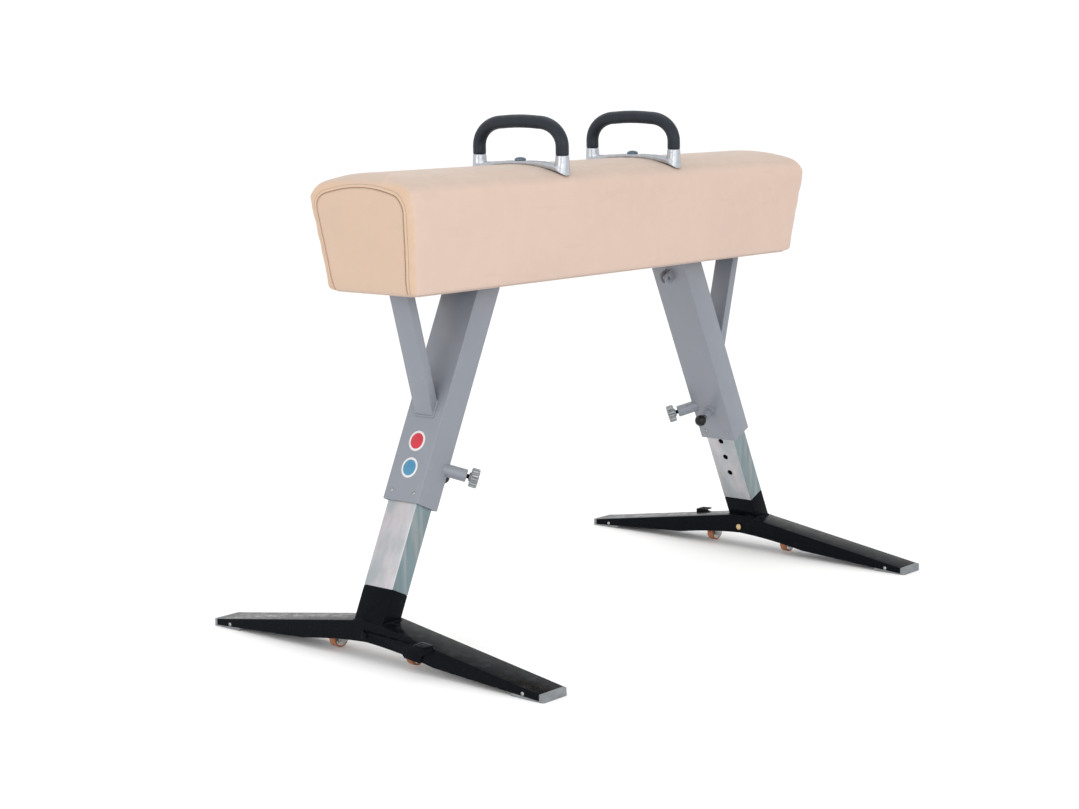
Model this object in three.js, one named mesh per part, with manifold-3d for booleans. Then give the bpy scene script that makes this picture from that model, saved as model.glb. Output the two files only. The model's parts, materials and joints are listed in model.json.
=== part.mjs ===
// Pommel horse on two adjustable legs with arched feet.
// Millimetres, +Z up. X runs along the horse, Y across it. The origin is on the floor,
// under the middle of the horse. The two ends are one assembly, turned half a turn about Z.
import * as THREE from 'three';
import { mergeVertices } from 'three/addons/utils/BufferGeometryUtils.js';
import Module from 'manifold-3d';

const wasm = await Module();
wasm.setup();

// ---- driving dimensions ----
const GAP = 0.3; // between pieces that touch on the real object
const FAR = 2000; // reach of a cutting block
const SPARE = 60; // length left on a tube that is then cut to a plane
const CURVE_STEPS = 6; // sides of each arc in an extruded outline

// horse body
const BODY_BOTTOM = 886; // underside above the floor
const BODY_HEIGHT = 284;
const HALF_LENGTH_LOW = 775; // at the underside
const HALF_LENGTH_HIGH = 808; // where the end nose starts to round
const HALF_WIDTH_LOW = 150;
const HALF_WIDTH_HIGH = 175;
const CROWN_RADIUS = 600; // across the top
const SHOULDER_RADIUS = 56; // from the top to the sides
const NOSE_RADIUS = 54; // from the top to the ends
const CORNER_RADIUS = 14; // upright corners
const SMALLEST_CORNER = 4; // of the solids inside
const LEATHER = 3;
const PADDING = 30;
const CORE_WALL = 24;
const BOARD_THICKNESS = 18;
const PANEL_INSET = 26; // from the outline of the end to the seam of its panel
const PANEL_REACH = 12; // inwards from the lower edge of the end
const SLOT_FLOOR = 200; // level of the pommel slots' lower ends, above the underside

// pommels
const POMMEL_X = 230; // at rest, the widest setting
const POMMEL_TRAVEL = 30; // inwards
const GRIP_RADIUS = 17;
const GRIP_HALF_SPAN = 139; // to the axis of each upright
const GRIP_TOP = 1277; // axis of the bar above the floor
const GRIP_FOOT = 1194; // lower ends of the grip
const GRIP_BEND = { across: 80, down: 62 }; // reach of each bend along the bar and down the upright
const GRIP_STEPS = 26;
const ROD_RADIUS = 7.5; // steel rod inside the grip
const ROD_CLEARANCE = 1; // filled with adhesive on the real one
const ROD_DEPTH = 24; // how far the rod goes into each post
const POST_RADIUS = 18;
const POST_LENGTH = 48;
const SADDLE_HALF_SPAN = 151;
const SADDLE_WIDTH = 46;
const SADDLE_THICKNESS = 9;
const SADDLE_CORNER = 21; // of its plan
const SADDLE_SPARE = 20; // added to its plan, so that the strap's own ends decide its length
const SCREW_RADIUS = 7;
const SCREW_CAP_RADIUS = 15;
const SCREW_CAP_HEIGHT = 9;
const SCREW_CAP_PROFILE = [[0, 0], [1, 0], [1, 0.4], [0.86, 0.75], [0.5, 0.96], [0, 1]]; // radius, height
const SCREW_BELOW_NUT = 8;
const NUT_SIZE = 44;
const NUT_THICKNESS = 12;

// legs, in a frame with z up the leg from the underside of the horse and x to the outside
const LEG_TILT = THREE.MathUtils.degToRad(24.75);
const LEG_TOP_X = 415; // leg axis at the underside of the horse
const OUTER_DEPTH = 75;
const OUTER_WIDTH = 118;
const OUTER_WALL = 4;
const OUTER_END = 580; // distance down the leg of the outer tube's cut end
const INNER_DEPTH = 58;
const INNER_WIDTH = 96;
const INNER_WALL = 4;
const INNER_TOP = 250;
const PAINT_LINE = 795; // where the bare inner tube meets the painted socket
const SOCKET_REACH = 980; // below the top of the beam, which then cuts it
const INDEX_HOLE_RADIUS = 8.5;
const INDEX_PITCH = 54.5;
const INDEX_AT = 484; // distance down the leg of the index plunger
const HOLES_ABOVE = 3;
const HOLES_BELOW = 4;
const BUSH_CLEARANCE = 0.4;
const LOWER_BUSH = [540, 578];
const UPPER_BUSH = [256, 296];
const BRACE_TILT = THREE.MathUtils.degToRad(15);
const BRACE_TOP_X = 672;
const BRACE_DEPTH = 26;
const BRACE_WIDTH = 60;
const BRACE_WALL = 2.5;
const BRACE_REACH = 420; // longer than it needs before the leg's face cuts it
const PLATE = { from: 362, to: 722, width: 150, thickness: 6 };
const LUG = { depth: 20, down: 33, radius: 16, hole: 6, thickness: 5, spacing: 22 };

// clamp on the leg's corner
const CLAMP_AT = 475;
const BOSS_RADIUS = 16;
const BOSS_LENGTH = 45; // beyond the corner of the outer tube
const STUD_RADIUS = 6;
const STUD_INNER_END = -12.4; // from the corner of the outer tube
const KNOB = { radius: 24, groove: 2.6, flutes: 12, from: 55, to: 75, hub: 11, hubFrom: 51, cap: 4 };

// index plunger
const HOUSING = { radius: 13, bore: 8, length: 30, cap: 4 };
const PIN_RADIUS = 5;
const COLLAR = { radius: 7.5, length: 2.2, at: 1 };
const NOSE_AT = (INNER_DEPTH - OUTER_DEPTH) / 2 + 0.6; // the nose stops just clear of the inner tube
const BALL_RADIUS = 16;
const BALL_DISTANCE = 51; // centre of the ball from the face of the outer tube
const BALL_FLAT = 1.5; // depth of the flat where the pin enters
const SPRING = { coils: 5, wire: 0.75, radius: 6.6, stepsPerCoil: 10, sides: 4 };

// feet
const FOOT_X = 774.5;
const FOOT_WIDTH = 86;
const FOOT_HALF = 546; // half-length of the beam
const FOOT_SLOPE = 0.1545;
const FOOT_END_TOP = 19;
const FOOT_END_BOTTOM = 3.5;
const FOOT_CROWN_HALF = 30; // half-length of the rounded top over the middle
const ARCH = { bendY: 220, bendZ: 23, controlY: 110, controlZ: 43, middle: 48 };
const FOOT_WALL = 4;
const SHOE = { end: 559, lipTop: 18, padFrom: 462, gap: 0.4 };
const WHEEL = { pedalSide: 122, plainSide: 140, z: 30, radius: 25, width: 20, axle: 5 };
const WHEEL_HUB = { bore: 5.4, boss: 9.4, web: 10.4, rim: 20, recess: 2 };
const CARRIER = { y: 70, z: 70, shaft: 6, plateZ: 59, plate: 5, cheek: 4, halfWidth: 15 };
const CHEEK = { gap: 2, below: 10 }; // beside the wheel, and below its axle
const PEDAL = { z: 66, shaft: 6, plate: 4, gap: 0.8, treadFrom: 190, treadTo: 222, tread: 34, washer: 10 };
const PEDAL_HEAD = { radius: 8.5, reach: 6, gap: 0.5, boss: 5 };
// lower edge of the pedal's lever as (y, z), from its shaft to its tread: it hangs in front of the wheel
const PEDAL_LOWER_EDGE = [[-12, 57], [116, 50], [130, 33], [180, 28], [188, 46]];
const PEDAL_UPPER_EDGE = [[140, 70], [-12, 76]];
const PEDAL_RISE = { low: -6, under: 3, high: 7, underEnd: 6, highEnd: 10 }; // over the beam's top edge

// ---- colours and finishes ----
function finish(color, roughness, metalness) {
  return new THREE.MeshStandardMaterial({ color, roughness, metalness });
}
const LEATHER_TAN = finish('#e4ccbb', 0.6, 0);
const FOAM = finish('#d8cf9a', 0.95, 0);
const WOOD = finish('#c79c66', 0.7, 0);
const GREY_PAINT = finish('#a3a8ac', 0.4, 0.2);
const BLACK_PAINT = finish('#14181b', 0.25, 0.2);
const ZINC = finish('#9fb0b5', 0.35, 0.9);
const STEEL = finish('#8d9094', 0.35, 0.9);
const ALUMINIUM = finish('#b9bdc1', 0.35, 0.9);
const GRIP_PLASTIC = finish('#2c3239', 0.55, 0);
const BLACK_PLASTIC = finish('#101214', 0.4, 0);
const GUIDE_PLASTIC = finish('#e8e8e4', 0.5, 0);
const SHOE_GREY = finish('#8e9294', 0.6, 0);
const TREAD_ORANGE = finish('#b4693f', 0.5, 0);

// ---- solids ----
function solidOf(geometry) {
  const bare = geometry.clone();
  bare.deleteAttribute('normal');
  bare.deleteAttribute('uv');
  const welded = mergeVertices(bare, 1e-4);
  return new wasm.Manifold(new wasm.Mesh({
    numProp: 3,
    vertProperties: new Float32Array(welded.attributes.position.array),
    triVerts: new Uint32Array(welded.index.array),
  }));
}

function geometryOf(solid) {
  const mesh = solid.getMesh();
  const geometry = new THREE.BufferGeometry();
  geometry.setAttribute('position', new THREE.BufferAttribute(mesh.vertProperties, mesh.numProp));
  geometry.setIndex(new THREE.BufferAttribute(mesh.triVerts, 1));
  geometry.computeVertexNormals();
  return geometry;
}

function combine(operation, base, tools) {
  const solids = tools.map(solidOf);
  const result = solids.reduce((whole, tool) => whole[operation](tool), solidOf(base));
  return geometryOf(result);
}
const cut = (base, ...tools) => combine('subtract', base, tools);
const join = (base, ...tools) => combine('add', base, tools);
const common = (base, ...tools) => combine('intersect', base, tools);

// a box between two corners
function block(low, high) {
  const size = high.map((value, i) => value - low[i]);
  const box = new THREE.BoxGeometry(...size);
  return box.translate(...low.map((value, i) => value + size[i] / 2));
}

// a round bar between two points
function bar(radius, start, end, segments = 16) {
  const from = new THREE.Vector3(...start);
  const along = new THREE.Vector3(...end).sub(from);
  const cylinder = new THREE.CylinderGeometry(radius, radius, along.length(), segments);
  const turn = new THREE.Quaternion().setFromUnitVectors(
    new THREE.Vector3(0, 1, 0),
    along.clone().normalize(),
  );
  const middle = from.addScaledVector(along, 0.5);
  return cylinder.applyQuaternion(turn).translate(middle.x, middle.y, middle.z);
}

// an outline of (y, z) points, extruded along x between two places
function slabAlongX(shape, from, to) {
  const slab = new THREE.ExtrudeGeometry(shape, {
    depth: to - from,
    bevelEnabled: false,
    curveSegments: CURVE_STEPS,
  });
  const turn = new THREE.Matrix4().makeBasis(
    new THREE.Vector3(0, 1, 0),
    new THREE.Vector3(0, 0, 1),
    new THREE.Vector3(1, 0, 0),
  );
  return slab.applyMatrix4(turn).translate(from, 0, 0);
}

// an outline of (x, z) points, extruded along y, centred on y = 0
function slabAlongY(shape, width) {
  const slab = new THREE.ExtrudeGeometry(shape, {
    depth: width,
    bevelEnabled: false,
    curveSegments: CURVE_STEPS,
  });
  return slab.rotateX(Math.PI / 2).translate(0, width / 2, 0);
}

function rectangularTube(depth, width, wall, bottom, top) {
  const [x, y] = [depth / 2, width / 2];
  const outside = block([-x, -y, bottom], [x, y, top]);
  const hollow = block([wall - x, wall - y, bottom - 1], [x - wall, y - wall, top + 1]);
  return cut(outside, hollow);
}

function roundedRectangle(halfX, halfY, radius) {
  const shape = new THREE.Shape();
  shape.moveTo(radius - halfX, -halfY);
  shape.absarc(halfX - radius, radius - halfY, radius, -Math.PI / 2, 0);
  shape.absarc(halfX - radius, halfY - radius, radius, 0, Math.PI / 2);
  shape.absarc(radius - halfX, halfY - radius, radius, Math.PI / 2, Math.PI);
  shape.absarc(radius - halfX, radius - halfY, radius, Math.PI, 1.5 * Math.PI);
  shape.closePath();
  return shape;
}

function place(group, name, geometry, material) {
  const mesh = new THREE.Mesh(geometry, material);
  mesh.name = name;
  group.add(mesh);
}

// ---- horse body ----
// The crown arc and the shoulder arc of the cross-section touch where both have this lean.
const SHOULDER_Y = HALF_WIDTH_HIGH - SHOULDER_RADIUS;
const CROWN_LEAN = Math.asin(SHOULDER_Y / (CROWN_RADIUS - SHOULDER_RADIUS));
const SHOULDER_DROP = CROWN_RADIUS - (CROWN_RADIUS - SHOULDER_RADIUS) * Math.cos(CROWN_LEAN);
const SHOULDER_Z = BODY_HEIGHT - SHOULDER_DROP;
const SIDE_LEAN = Math.atan2(HALF_WIDTH_HIGH - HALF_WIDTH_LOW, SHOULDER_Z);

// half of the top outline as (y, z) points above the underside, offset outwards by `out`
function topOutline(out, lastLean, crownSteps = 5, shoulderSteps = 6) {
  const points = [];
  for (let i = 0; i <= crownSteps; i += 1) {
    const lean = (CROWN_LEAN * i) / crownSteps;
    const reach = CROWN_RADIUS + out;
    points.push([reach * Math.sin(lean), BODY_HEIGHT - CROWN_RADIUS + reach * Math.cos(lean)]);
  }
  for (let i = 1; i <= shoulderSteps; i += 1) {
    const lean = CROWN_LEAN + ((lastLean - CROWN_LEAN) * i) / shoulderSteps;
    const reach = SHOULDER_RADIUS + out;
    points.push([SHOULDER_Y + reach * Math.sin(lean), SHOULDER_Z + reach * Math.cos(lean)]);
  }
  return points;
}

function shapeOf(points) {
  return new THREE.Shape(points.map(([x, y]) => new THREE.Vector2(x, y)));
}

// the horse's outside, shrunk by `inset`, from `bottom` above the underside
function horseSolid(inset, bottom = 0) {
  const half = topOutline(-inset, Math.PI / 2 + SIDE_LEAN);
  const low = HALF_WIDTH_LOW - inset / Math.cos(SIDE_LEAN) + bottom * Math.tan(SIDE_LEAN);
  half.push([low, bottom]);
  const mirrored = half.slice(1).reverse().map(([y, z]) => [-y, z]);
  const section = shapeOf([...mirrored, ...half]);
  const long = slabAlongX(section, -FAR, FAR);

  const noseZ = BODY_HEIGHT - NOSE_RADIUS;
  const endLean = Math.atan2(HALF_LENGTH_HIGH - HALF_LENGTH_LOW, noseZ);
  const lowX = HALF_LENGTH_LOW - inset / Math.cos(endLean) + bottom * Math.tan(endLean);
  const noseX = HALF_LENGTH_HIGH - NOSE_RADIUS;
  const nose = NOSE_RADIUS - inset;
  const side = new THREE.Shape();
  side.moveTo(-lowX, bottom);
  side.lineTo(lowX, bottom);
  side.absarc(noseX, noseZ, nose, -endLean, Math.PI / 2);
  side.absarc(-noseX, noseZ, nose, Math.PI / 2, Math.PI + endLean);
  side.closePath();

  const corner = Math.max(CORNER_RADIUS - inset, SMALLEST_CORNER);
  const plan = roundedRectangle(HALF_LENGTH_HIGH - inset, HALF_WIDTH_HIGH - inset, corner);
  const upright = new THREE.ExtrudeGeometry(plan, {
    depth: FAR,
    bevelEnabled: false,
    curveSegments: CURVE_STEPS,
  });
  return common(long, slabAlongY(side, FAR), upright.translate(0, 0, -FAR / 2));
}

// the slot that a pommel's screw slides in, through everything above `bottom`
function screwSlot(side, bottom) {
  const [near, far] = [POMMEL_X - POMMEL_TRAVEL - SCREW_RADIUS - 1, POMMEL_X + SCREW_RADIUS + 1];
  const [low, high] = side > 0 ? [near, far] : [-far, -near];
  return block([low, -SCREW_RADIUS - 1, bottom], [high, SCREW_RADIUS + 1, FAR]);
}

// the prism that parts an end panel from the leather cover
function panelPrism(side, grow) {
  const half = topOutline(grow - PANEL_INSET, Math.PI / 2 + SIDE_LEAN);
  half.push([HALF_WIDTH_LOW - PANEL_INSET + grow, -PANEL_REACH]);
  const mirrored = half.slice(1).reverse().map(([y, z]) => [-y, z]);
  const inner = HALF_LENGTH_LOW - PANEL_REACH;
  const [from, to] = side > 0 ? [inner, FAR] : [-FAR, -inner];
  return slabAlongX(shapeOf([...mirrored, ...half]), from, to);
}

function bottomBoard(inset) {
  const outside = cut(horseSolid(inset), block([-FAR, -FAR, BOARD_THICKNESS], [FAR, FAR, FAR]));
  const recesses = [-1, 1].map((side) => {
    const [low, high] = side > 0 ? [PLATE.from, PLATE.to] : [-PLATE.to, -PLATE.from];
    const y = PLATE.width / 2 + 1;
    return block([low - 1, -y, -1], [high + 1, y, PLATE.thickness + GAP]);
  });
  return cut(outside, ...recesses);
}

function addBody(group) {
  const slots = [screwSlot(-1, SLOT_FLOOR), screwSlot(1, SLOT_FLOOR)];
  const skin = cut(horseSolid(0), horseSolid(LEATHER, -1), ...slots);
  place(group, 'leather_cover', cut(skin, panelPrism(-1, 0), panelPrism(1, 0)), LEATHER_TAN);
  place(group, 'left_end_panel', common(skin, panelPrism(-1, -GAP)), LEATHER_TAN);
  place(group, 'right_end_panel', common(skin, panelPrism(1, -GAP)), LEATHER_TAN);

  const inner = LEATHER + GAP + PADDING;
  const foam = cut(horseSolid(LEATHER + GAP), horseSolid(inner, -1), ...slots);
  place(group, 'foam_padding', foam, FOAM);

  const shell = horseSolid(inner + GAP, BOARD_THICKNESS + GAP);
  const wall = inner + GAP + CORE_WALL;
  const [x, y] = [HALF_LENGTH_LOW - wall, HALF_WIDTH_LOW - wall];
  const room = block([-x, -y, 0], [x, y, BODY_HEIGHT - wall]);
  place(group, 'wooden_core', cut(shell, room, ...slots), WOOD);
  place(group, 'bottom_board', bottomBoard(inner + GAP), WOOD);
}

// ---- pommels ----
// round section swept along the bow, from one foot up, over and down to the other
function sweptBow(section, foot, curveSegments) {
  const path = new THREE.CurvePath();
  const [y, z, { across, down }] = [GRIP_HALF_SPAN, GRIP_TOP, GRIP_BEND];
  const at = (yy, zz) => new THREE.Vector3(0, yy, zz);
  path.add(new THREE.LineCurve3(at(-y, foot), at(-y, z - down)));
  path.add(new THREE.QuadraticBezierCurve3(at(-y, z - down), at(-y, z), at(across - y, z)));
  path.add(new THREE.LineCurve3(at(across - y, z), at(y - across, z)));
  path.add(new THREE.QuadraticBezierCurve3(at(y - across, z), at(y, z), at(y, z - down)));
  path.add(new THREE.LineCurve3(at(y, z - down), at(y, foot)));
  return new THREE.ExtrudeGeometry(section, { steps: GRIP_STEPS, extrudePath: path, curveSegments });
}

function disc(radius) {
  return new THREE.Shape().absarc(0, 0, radius, 0, 2 * Math.PI);
}

function gripSleeve() {
  const ring = disc(GRIP_RADIUS);
  ring.holes.push(new THREE.Path().absarc(0, 0, ROD_RADIUS + ROD_CLEARANCE, 0, 2 * Math.PI, true));
  return sweptBow(ring, GRIP_FOOT, 6);
}

const SADDLE_LEAN = Math.asin((SADDLE_HALF_SPAN - SHOULDER_Y) / (SHOULDER_RADIUS + GAP));

function saddle() {
  const under = topOutline(GAP, SADDLE_LEAN).map(([y, z]) => [y, z + BODY_BOTTOM]);
  const over = topOutline(SADDLE_THICKNESS, SADDLE_LEAN).map(([y, z]) => [y, z + BODY_BOTTOM]);
  const left = (points) => points.slice(1).reverse().map(([y, z]) => [-y, z]);
  const strap = shapeOf([
    ...left(under), ...under, ...over.slice(1).reverse(), over[0], ...left(over).reverse(),
  ]);
  const half = SADDLE_WIDTH / 2;
  const plan = new THREE.ExtrudeGeometry(
    roundedRectangle(half, SADDLE_HALF_SPAN + SADDLE_SPARE, SADDLE_CORNER),
    { depth: FAR, bevelEnabled: false, curveSegments: CURVE_STEPS },
  );
  const arched = common(slabAlongX(strap, -half, half), plan);
  const posts = [];
  const bores = [];
  for (const side of [-1, 1]) {
    const y = side * GRIP_HALF_SPAN;
    posts.push(bar(POST_RADIUS, [0, y, GRIP_FOOT - POST_LENGTH], [0, y, GRIP_FOOT - GAP], 20));
    bores.push(bar(ROD_RADIUS + ROD_CLEARANCE, [0, y, GRIP_FOOT - ROD_DEPTH - 1], [0, y, FAR], 12));
  }
  const belowSkin = slabAlongX(shapeOf([
    [-HALF_WIDTH_HIGH, 0],
    [HALF_WIDTH_HIGH, 0],
    ...horseTopAbove().reverse(),
  ]), -FAR, FAR);
  const hole = bar(SCREW_RADIUS + 0.5, [0, 0, BODY_BOTTOM], [0, 0, FAR]);
  return cut(join(arched, ...posts), belowSkin, ...bores, hole);
}

// the horse's whole top outline a little above its skin, in (y, z) from the floor
function horseTopAbove() {
  const half = topOutline(GAP, Math.PI / 2).map(([y, z]) => [y, z + BODY_BOTTOM]);
  return [...half.slice(1).reverse().map(([y, z]) => [-y, z]), ...half];
}

const SADDLE_TOP = BODY_BOTTOM + BODY_HEIGHT + SADDLE_THICKNESS;
const NUT_TOP = BODY_BOTTOM + BODY_HEIGHT - LEATHER - PADDING - CORE_WALL - 4 * GAP;

function clampScrew() {
  const profile = SCREW_CAP_PROFILE.map(
    ([radius, height]) => new THREE.Vector2(radius * SCREW_CAP_RADIUS, height * SCREW_CAP_HEIGHT),
  );
  const dome = new THREE.LatheGeometry(profile, 24);
  const head = dome.rotateX(Math.PI / 2).translate(0, 0, SADDLE_TOP + GAP);
  const end = NUT_TOP - NUT_THICKNESS - SCREW_BELOW_NUT;
  return join(head, bar(SCREW_RADIUS, [0, 0, end], [0, 0, SADDLE_TOP + 2]));
}

function clampNut() {
  const half = NUT_SIZE / 2;
  const plate = block([-half, -half, NUT_TOP - NUT_THICKNESS], [half, half, NUT_TOP]);
  return cut(plate, bar(SCREW_RADIUS + GAP, [0, 0, 0], [0, 0, FAR]));
}

function addPommel(group, name) {
  place(group, `${name}_pommel_saddle`, saddle(), ALUMINIUM);
  place(group, `${name}_pommel_grip`, gripSleeve(), GRIP_PLASTIC);
  place(group, `${name}_pommel_rod`, sweptBow(disc(ROD_RADIUS), GRIP_FOOT - ROD_DEPTH, 4), STEEL);
  place(group, `${name}_pommel_screw`, clampScrew(), STEEL);
  place(group, `${name}_pommel_nut`, clampNut(), STEEL);
}

// ---- leg: pieces in the leg's own frame ----
// everything above a level `height` over the underside of the horse, seen from the leg's frame
function aboveLevel(height) {
  return block([-FAR, -FAR, height], [FAR, FAR, height + FAR]).rotateY(LEG_TILT);
}

// a point on the clamp's axis, `distance` beyond the corner of the outer tube
function clampPoint(distance) {
  const step = distance / Math.SQRT2;
  return [-OUTER_DEPTH / 2 - step, OUTER_WIDTH / 2 + step, -CLAMP_AT];
}

function outerTube() {
  const tube = rectangularTube(OUTER_DEPTH, OUTER_WIDTH, OUTER_WALL, -OUTER_END, SPARE);
  const face = -OUTER_DEPTH / 2;
  const ears = [];
  for (const side of [-1, 1]) {
    const y = (side * (LUG.spacing - LUG.thickness)) / 2;
    const [low, high] = [y - LUG.thickness / 2, y + LUG.thickness / 2];
    ears.push(bar(LUG.radius, [face - LUG.depth, low, -LUG.down], [face - LUG.depth, high, -LUG.down]));
    const root = block(
      [face - LUG.depth, low, -LUG.down - LUG.radius],
      [face + 1, high, LUG.radius - LUG.down],
    );
    ears.push(root);
  }
  return cut(
    join(tube, ...ears),
    aboveLevel(-GAP),
    bar(LUG.hole, [face - LUG.depth, -FAR, -LUG.down], [face - LUG.depth, FAR, -LUG.down], 16),
    bar(PIN_RADIUS + GAP, [face - 5, 0, -INDEX_AT], [face + 10, 0, -INDEX_AT]),
    bar(STUD_RADIUS + 0.5, clampPoint(-BOSS_RADIUS), clampPoint(10)),
  );
}

function bush(depth, width, boreDepth, boreWidth, [from, to]) {
  const ring = block([-depth / 2, -width / 2, -to], [depth / 2, width / 2, -from]);
  const [x, y] = [boreDepth / 2, boreWidth / 2];
  return cut(ring, block([-x, -y, -FAR], [x, y, FAR]));
}

function lowerBush() {
  const wall = 2 * (OUTER_WALL + GAP);
  const clear = 2 * BUSH_CLEARANCE;
  return bush(OUTER_DEPTH - wall, OUTER_WIDTH - wall, INNER_DEPTH + clear, INNER_WIDTH + clear, LOWER_BUSH);
}

function upperBush() {
  const wall = 2 * (OUTER_WALL + BUSH_CLEARANCE);
  const [depth, width] = [INNER_DEPTH + 2 * GAP, INNER_WIDTH + 2 * GAP];
  return bush(OUTER_DEPTH - wall, OUTER_WIDTH - wall, depth, width, UPPER_BUSH);
}

function innerTube() {
  const tube = rectangularTube(INNER_DEPTH, INNER_WIDTH, INNER_WALL, -PAINT_LINE, -INNER_TOP);
  const holes = [];
  for (let i = -HOLES_ABOVE; i <= HOLES_BELOW; i += 1) {
    const z = -INDEX_AT - i * INDEX_PITCH;
    holes.push(bar(INDEX_HOLE_RADIUS, [-INNER_DEPTH, 0, z], [0, 0, z], 12));
  }
  return cut(tube, ...holes);
}

function clampBoss() {
  const cylinder = bar(BOSS_RADIUS, clampPoint(-BOSS_RADIUS), clampPoint(BOSS_LENGTH));
  const [x, y] = [OUTER_DEPTH / 2 + GAP, OUTER_WIDTH / 2 + GAP];
  const tube = block([-x, -y, -FAR], [x, y, FAR]);
  return cut(cylinder, tube, bar(STUD_RADIUS + GAP, clampPoint(-30), clampPoint(BOSS_LENGTH + 10)));
}

function clampKnob() {
  const points = [];
  const count = KNOB.flutes * 4;
  for (let i = 0; i < count; i += 1) {
    const turn = (i / count) * 2 * Math.PI;
    const radius = KNOB.radius - KNOB.groove * Math.max(0, Math.sin(turn * KNOB.flutes));
    points.push([radius * Math.cos(turn), radius * Math.sin(turn)]);
  }
  const grip = new THREE.ExtrudeGeometry(
    shapeOf(points),
    { depth: KNOB.to - KNOB.from, bevelEnabled: false },
  ).translate(0, 0, KNOB.from);
  const knob = cut(
    join(grip, bar(KNOB.hub, [0, 0, KNOB.hubFrom], [0, 0, KNOB.from + KNOB.cap])),
    bar(STUD_RADIUS + GAP, [0, 0, 0], [0, 0, KNOB.to - KNOB.cap]),
  );
  const corner = new THREE.Vector3(...clampPoint(0));
  const out = new THREE.Vector3(...clampPoint(1)).sub(corner);
  const turn = new THREE.Quaternion().setFromUnitVectors(new THREE.Vector3(0, 0, 1), out);
  return knob.applyQuaternion(turn).translate(corner.x, corner.y, corner.z);
}

// distance along the plunger's axis, outwards from the inner face of the outer tube
function plungerPoint(distance) {
  return [-OUTER_DEPTH / 2 - distance, 0, -INDEX_AT];
}

function plungerHousing() {
  const { radius, bore, length, cap } = HOUSING;
  return cut(
    bar(radius, plungerPoint(GAP), plungerPoint(length)),
    bar(bore, plungerPoint(-1), plungerPoint(length - cap)),
    bar(PIN_RADIUS + GAP, plungerPoint(-1), plungerPoint(length + 1)),
  );
}


function plungerPin() {
  return join(
    bar(PIN_RADIUS, plungerPoint(NOSE_AT), plungerPoint(BALL_DISTANCE)),
    bar(COLLAR.radius, plungerPoint(COLLAR.at), plungerPoint(COLLAR.at + COLLAR.length)),
  );
}

function plungerBall() {
  const ball = new THREE.SphereGeometry(BALL_RADIUS, 16, 10).translate(...plungerPoint(BALL_DISTANCE));
  const neck = BALL_DISTANCE - BALL_RADIUS;
  return cut(
    ball,
    bar(PIN_RADIUS + GAP, plungerPoint(neck - 5), plungerPoint(BALL_DISTANCE + GAP)),
    block(
      [-OUTER_DEPTH / 2 - neck - BALL_FLAT, -FAR, -FAR],
      [FAR, FAR, FAR],
    ),
  );
}

function plungerSpring() {
  const start = COLLAR.at + COLLAR.length + SPRING.wire + 0.2;
  const end = HOUSING.length - HOUSING.cap - SPRING.wire - 0.2;
  const steps = SPRING.coils * SPRING.stepsPerCoil;
  const points = [];
  for (let i = 0; i <= steps; i += 1) {
    const turn = (i / SPRING.stepsPerCoil) * 2 * Math.PI;
    const [x, , z] = plungerPoint(start + ((end - start) * i) / steps);
    points.push(new THREE.Vector3(x, SPRING.radius * Math.cos(turn), z + SPRING.radius * Math.sin(turn)));
  }
  const shape = new THREE.Shape();
  for (let i = 0; i < SPRING.sides; i += 1) {
    const turn = (i / SPRING.sides) * 2 * Math.PI;
    const [x, y] = [SPRING.wire * Math.cos(turn), SPRING.wire * Math.sin(turn)];
    if (i === 0) shape.moveTo(x, y);
    else shape.lineTo(x, y);
  }
  const extrudePath = new THREE.CatmullRomCurve3(points);
  return new THREE.ExtrudeGeometry(shape, { steps, extrudePath });
}

// ---- foot: pieces in a frame centred under the beam ----
function beamTop(y, lift = 0) {
  const straight = FOOT_END_TOP + (FOOT_HALF - Math.abs(y)) * FOOT_SLOPE;
  const inside = Math.max(0, FOOT_CROWN_HALF - Math.abs(y));
  return straight - (FOOT_SLOPE * inside * inside) / (2 * FOOT_CROWN_HALF) + lift;
}

// top edge of the beam from one end to the other, offset by `lift`
function beamTopPoints(half, lift) {
  const places = [-half, -FOOT_CROWN_HALF, -FOOT_CROWN_HALF / 2, 0];
  const mirrored = places.slice(0, 3).reverse().map((y) => -y);
  return [...places, ...mirrored].map((y) => [y, beamTop(y, lift)]);
}

function footOutline() {
  const shape = new THREE.Shape();
  const top = beamTopPoints(FOOT_HALF, 0).reverse();
  shape.moveTo(...top[0]);
  top.slice(1).forEach((point) => shape.lineTo(...point));
  shape.lineTo(-FOOT_HALF, FOOT_END_BOTTOM);
  shape.lineTo(-ARCH.bendY, ARCH.bendZ);
  shape.quadraticCurveTo(-ARCH.controlY, ARCH.controlZ, 0, ARCH.middle);
  shape.quadraticCurveTo(ARCH.controlY, ARCH.controlZ, ARCH.bendY, ARCH.bendZ);
  shape.lineTo(FOOT_HALF, FOOT_END_BOTTOM);
  shape.closePath();
  return shape;
}

function footBeam() {
  const half = FOOT_WIDTH / 2;
  const inside = FOOT_HALF - FOOT_WALL;
  const hollow = shapeOf([
    [-inside, -SPARE],
    [inside, -SPARE],
    ...beamTopPoints(inside, -FOOT_WALL).reverse(),
  ]);
  return cut(
    slabAlongX(footOutline(), -half, half),
    slabAlongX(hollow, FOOT_WALL - half, half - FOOT_WALL),
    bar(PEDAL.shaft + 0.4, [-FAR, 0, PEDAL.z], [FAR, 0, PEDAL.z]),
  );
}

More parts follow.
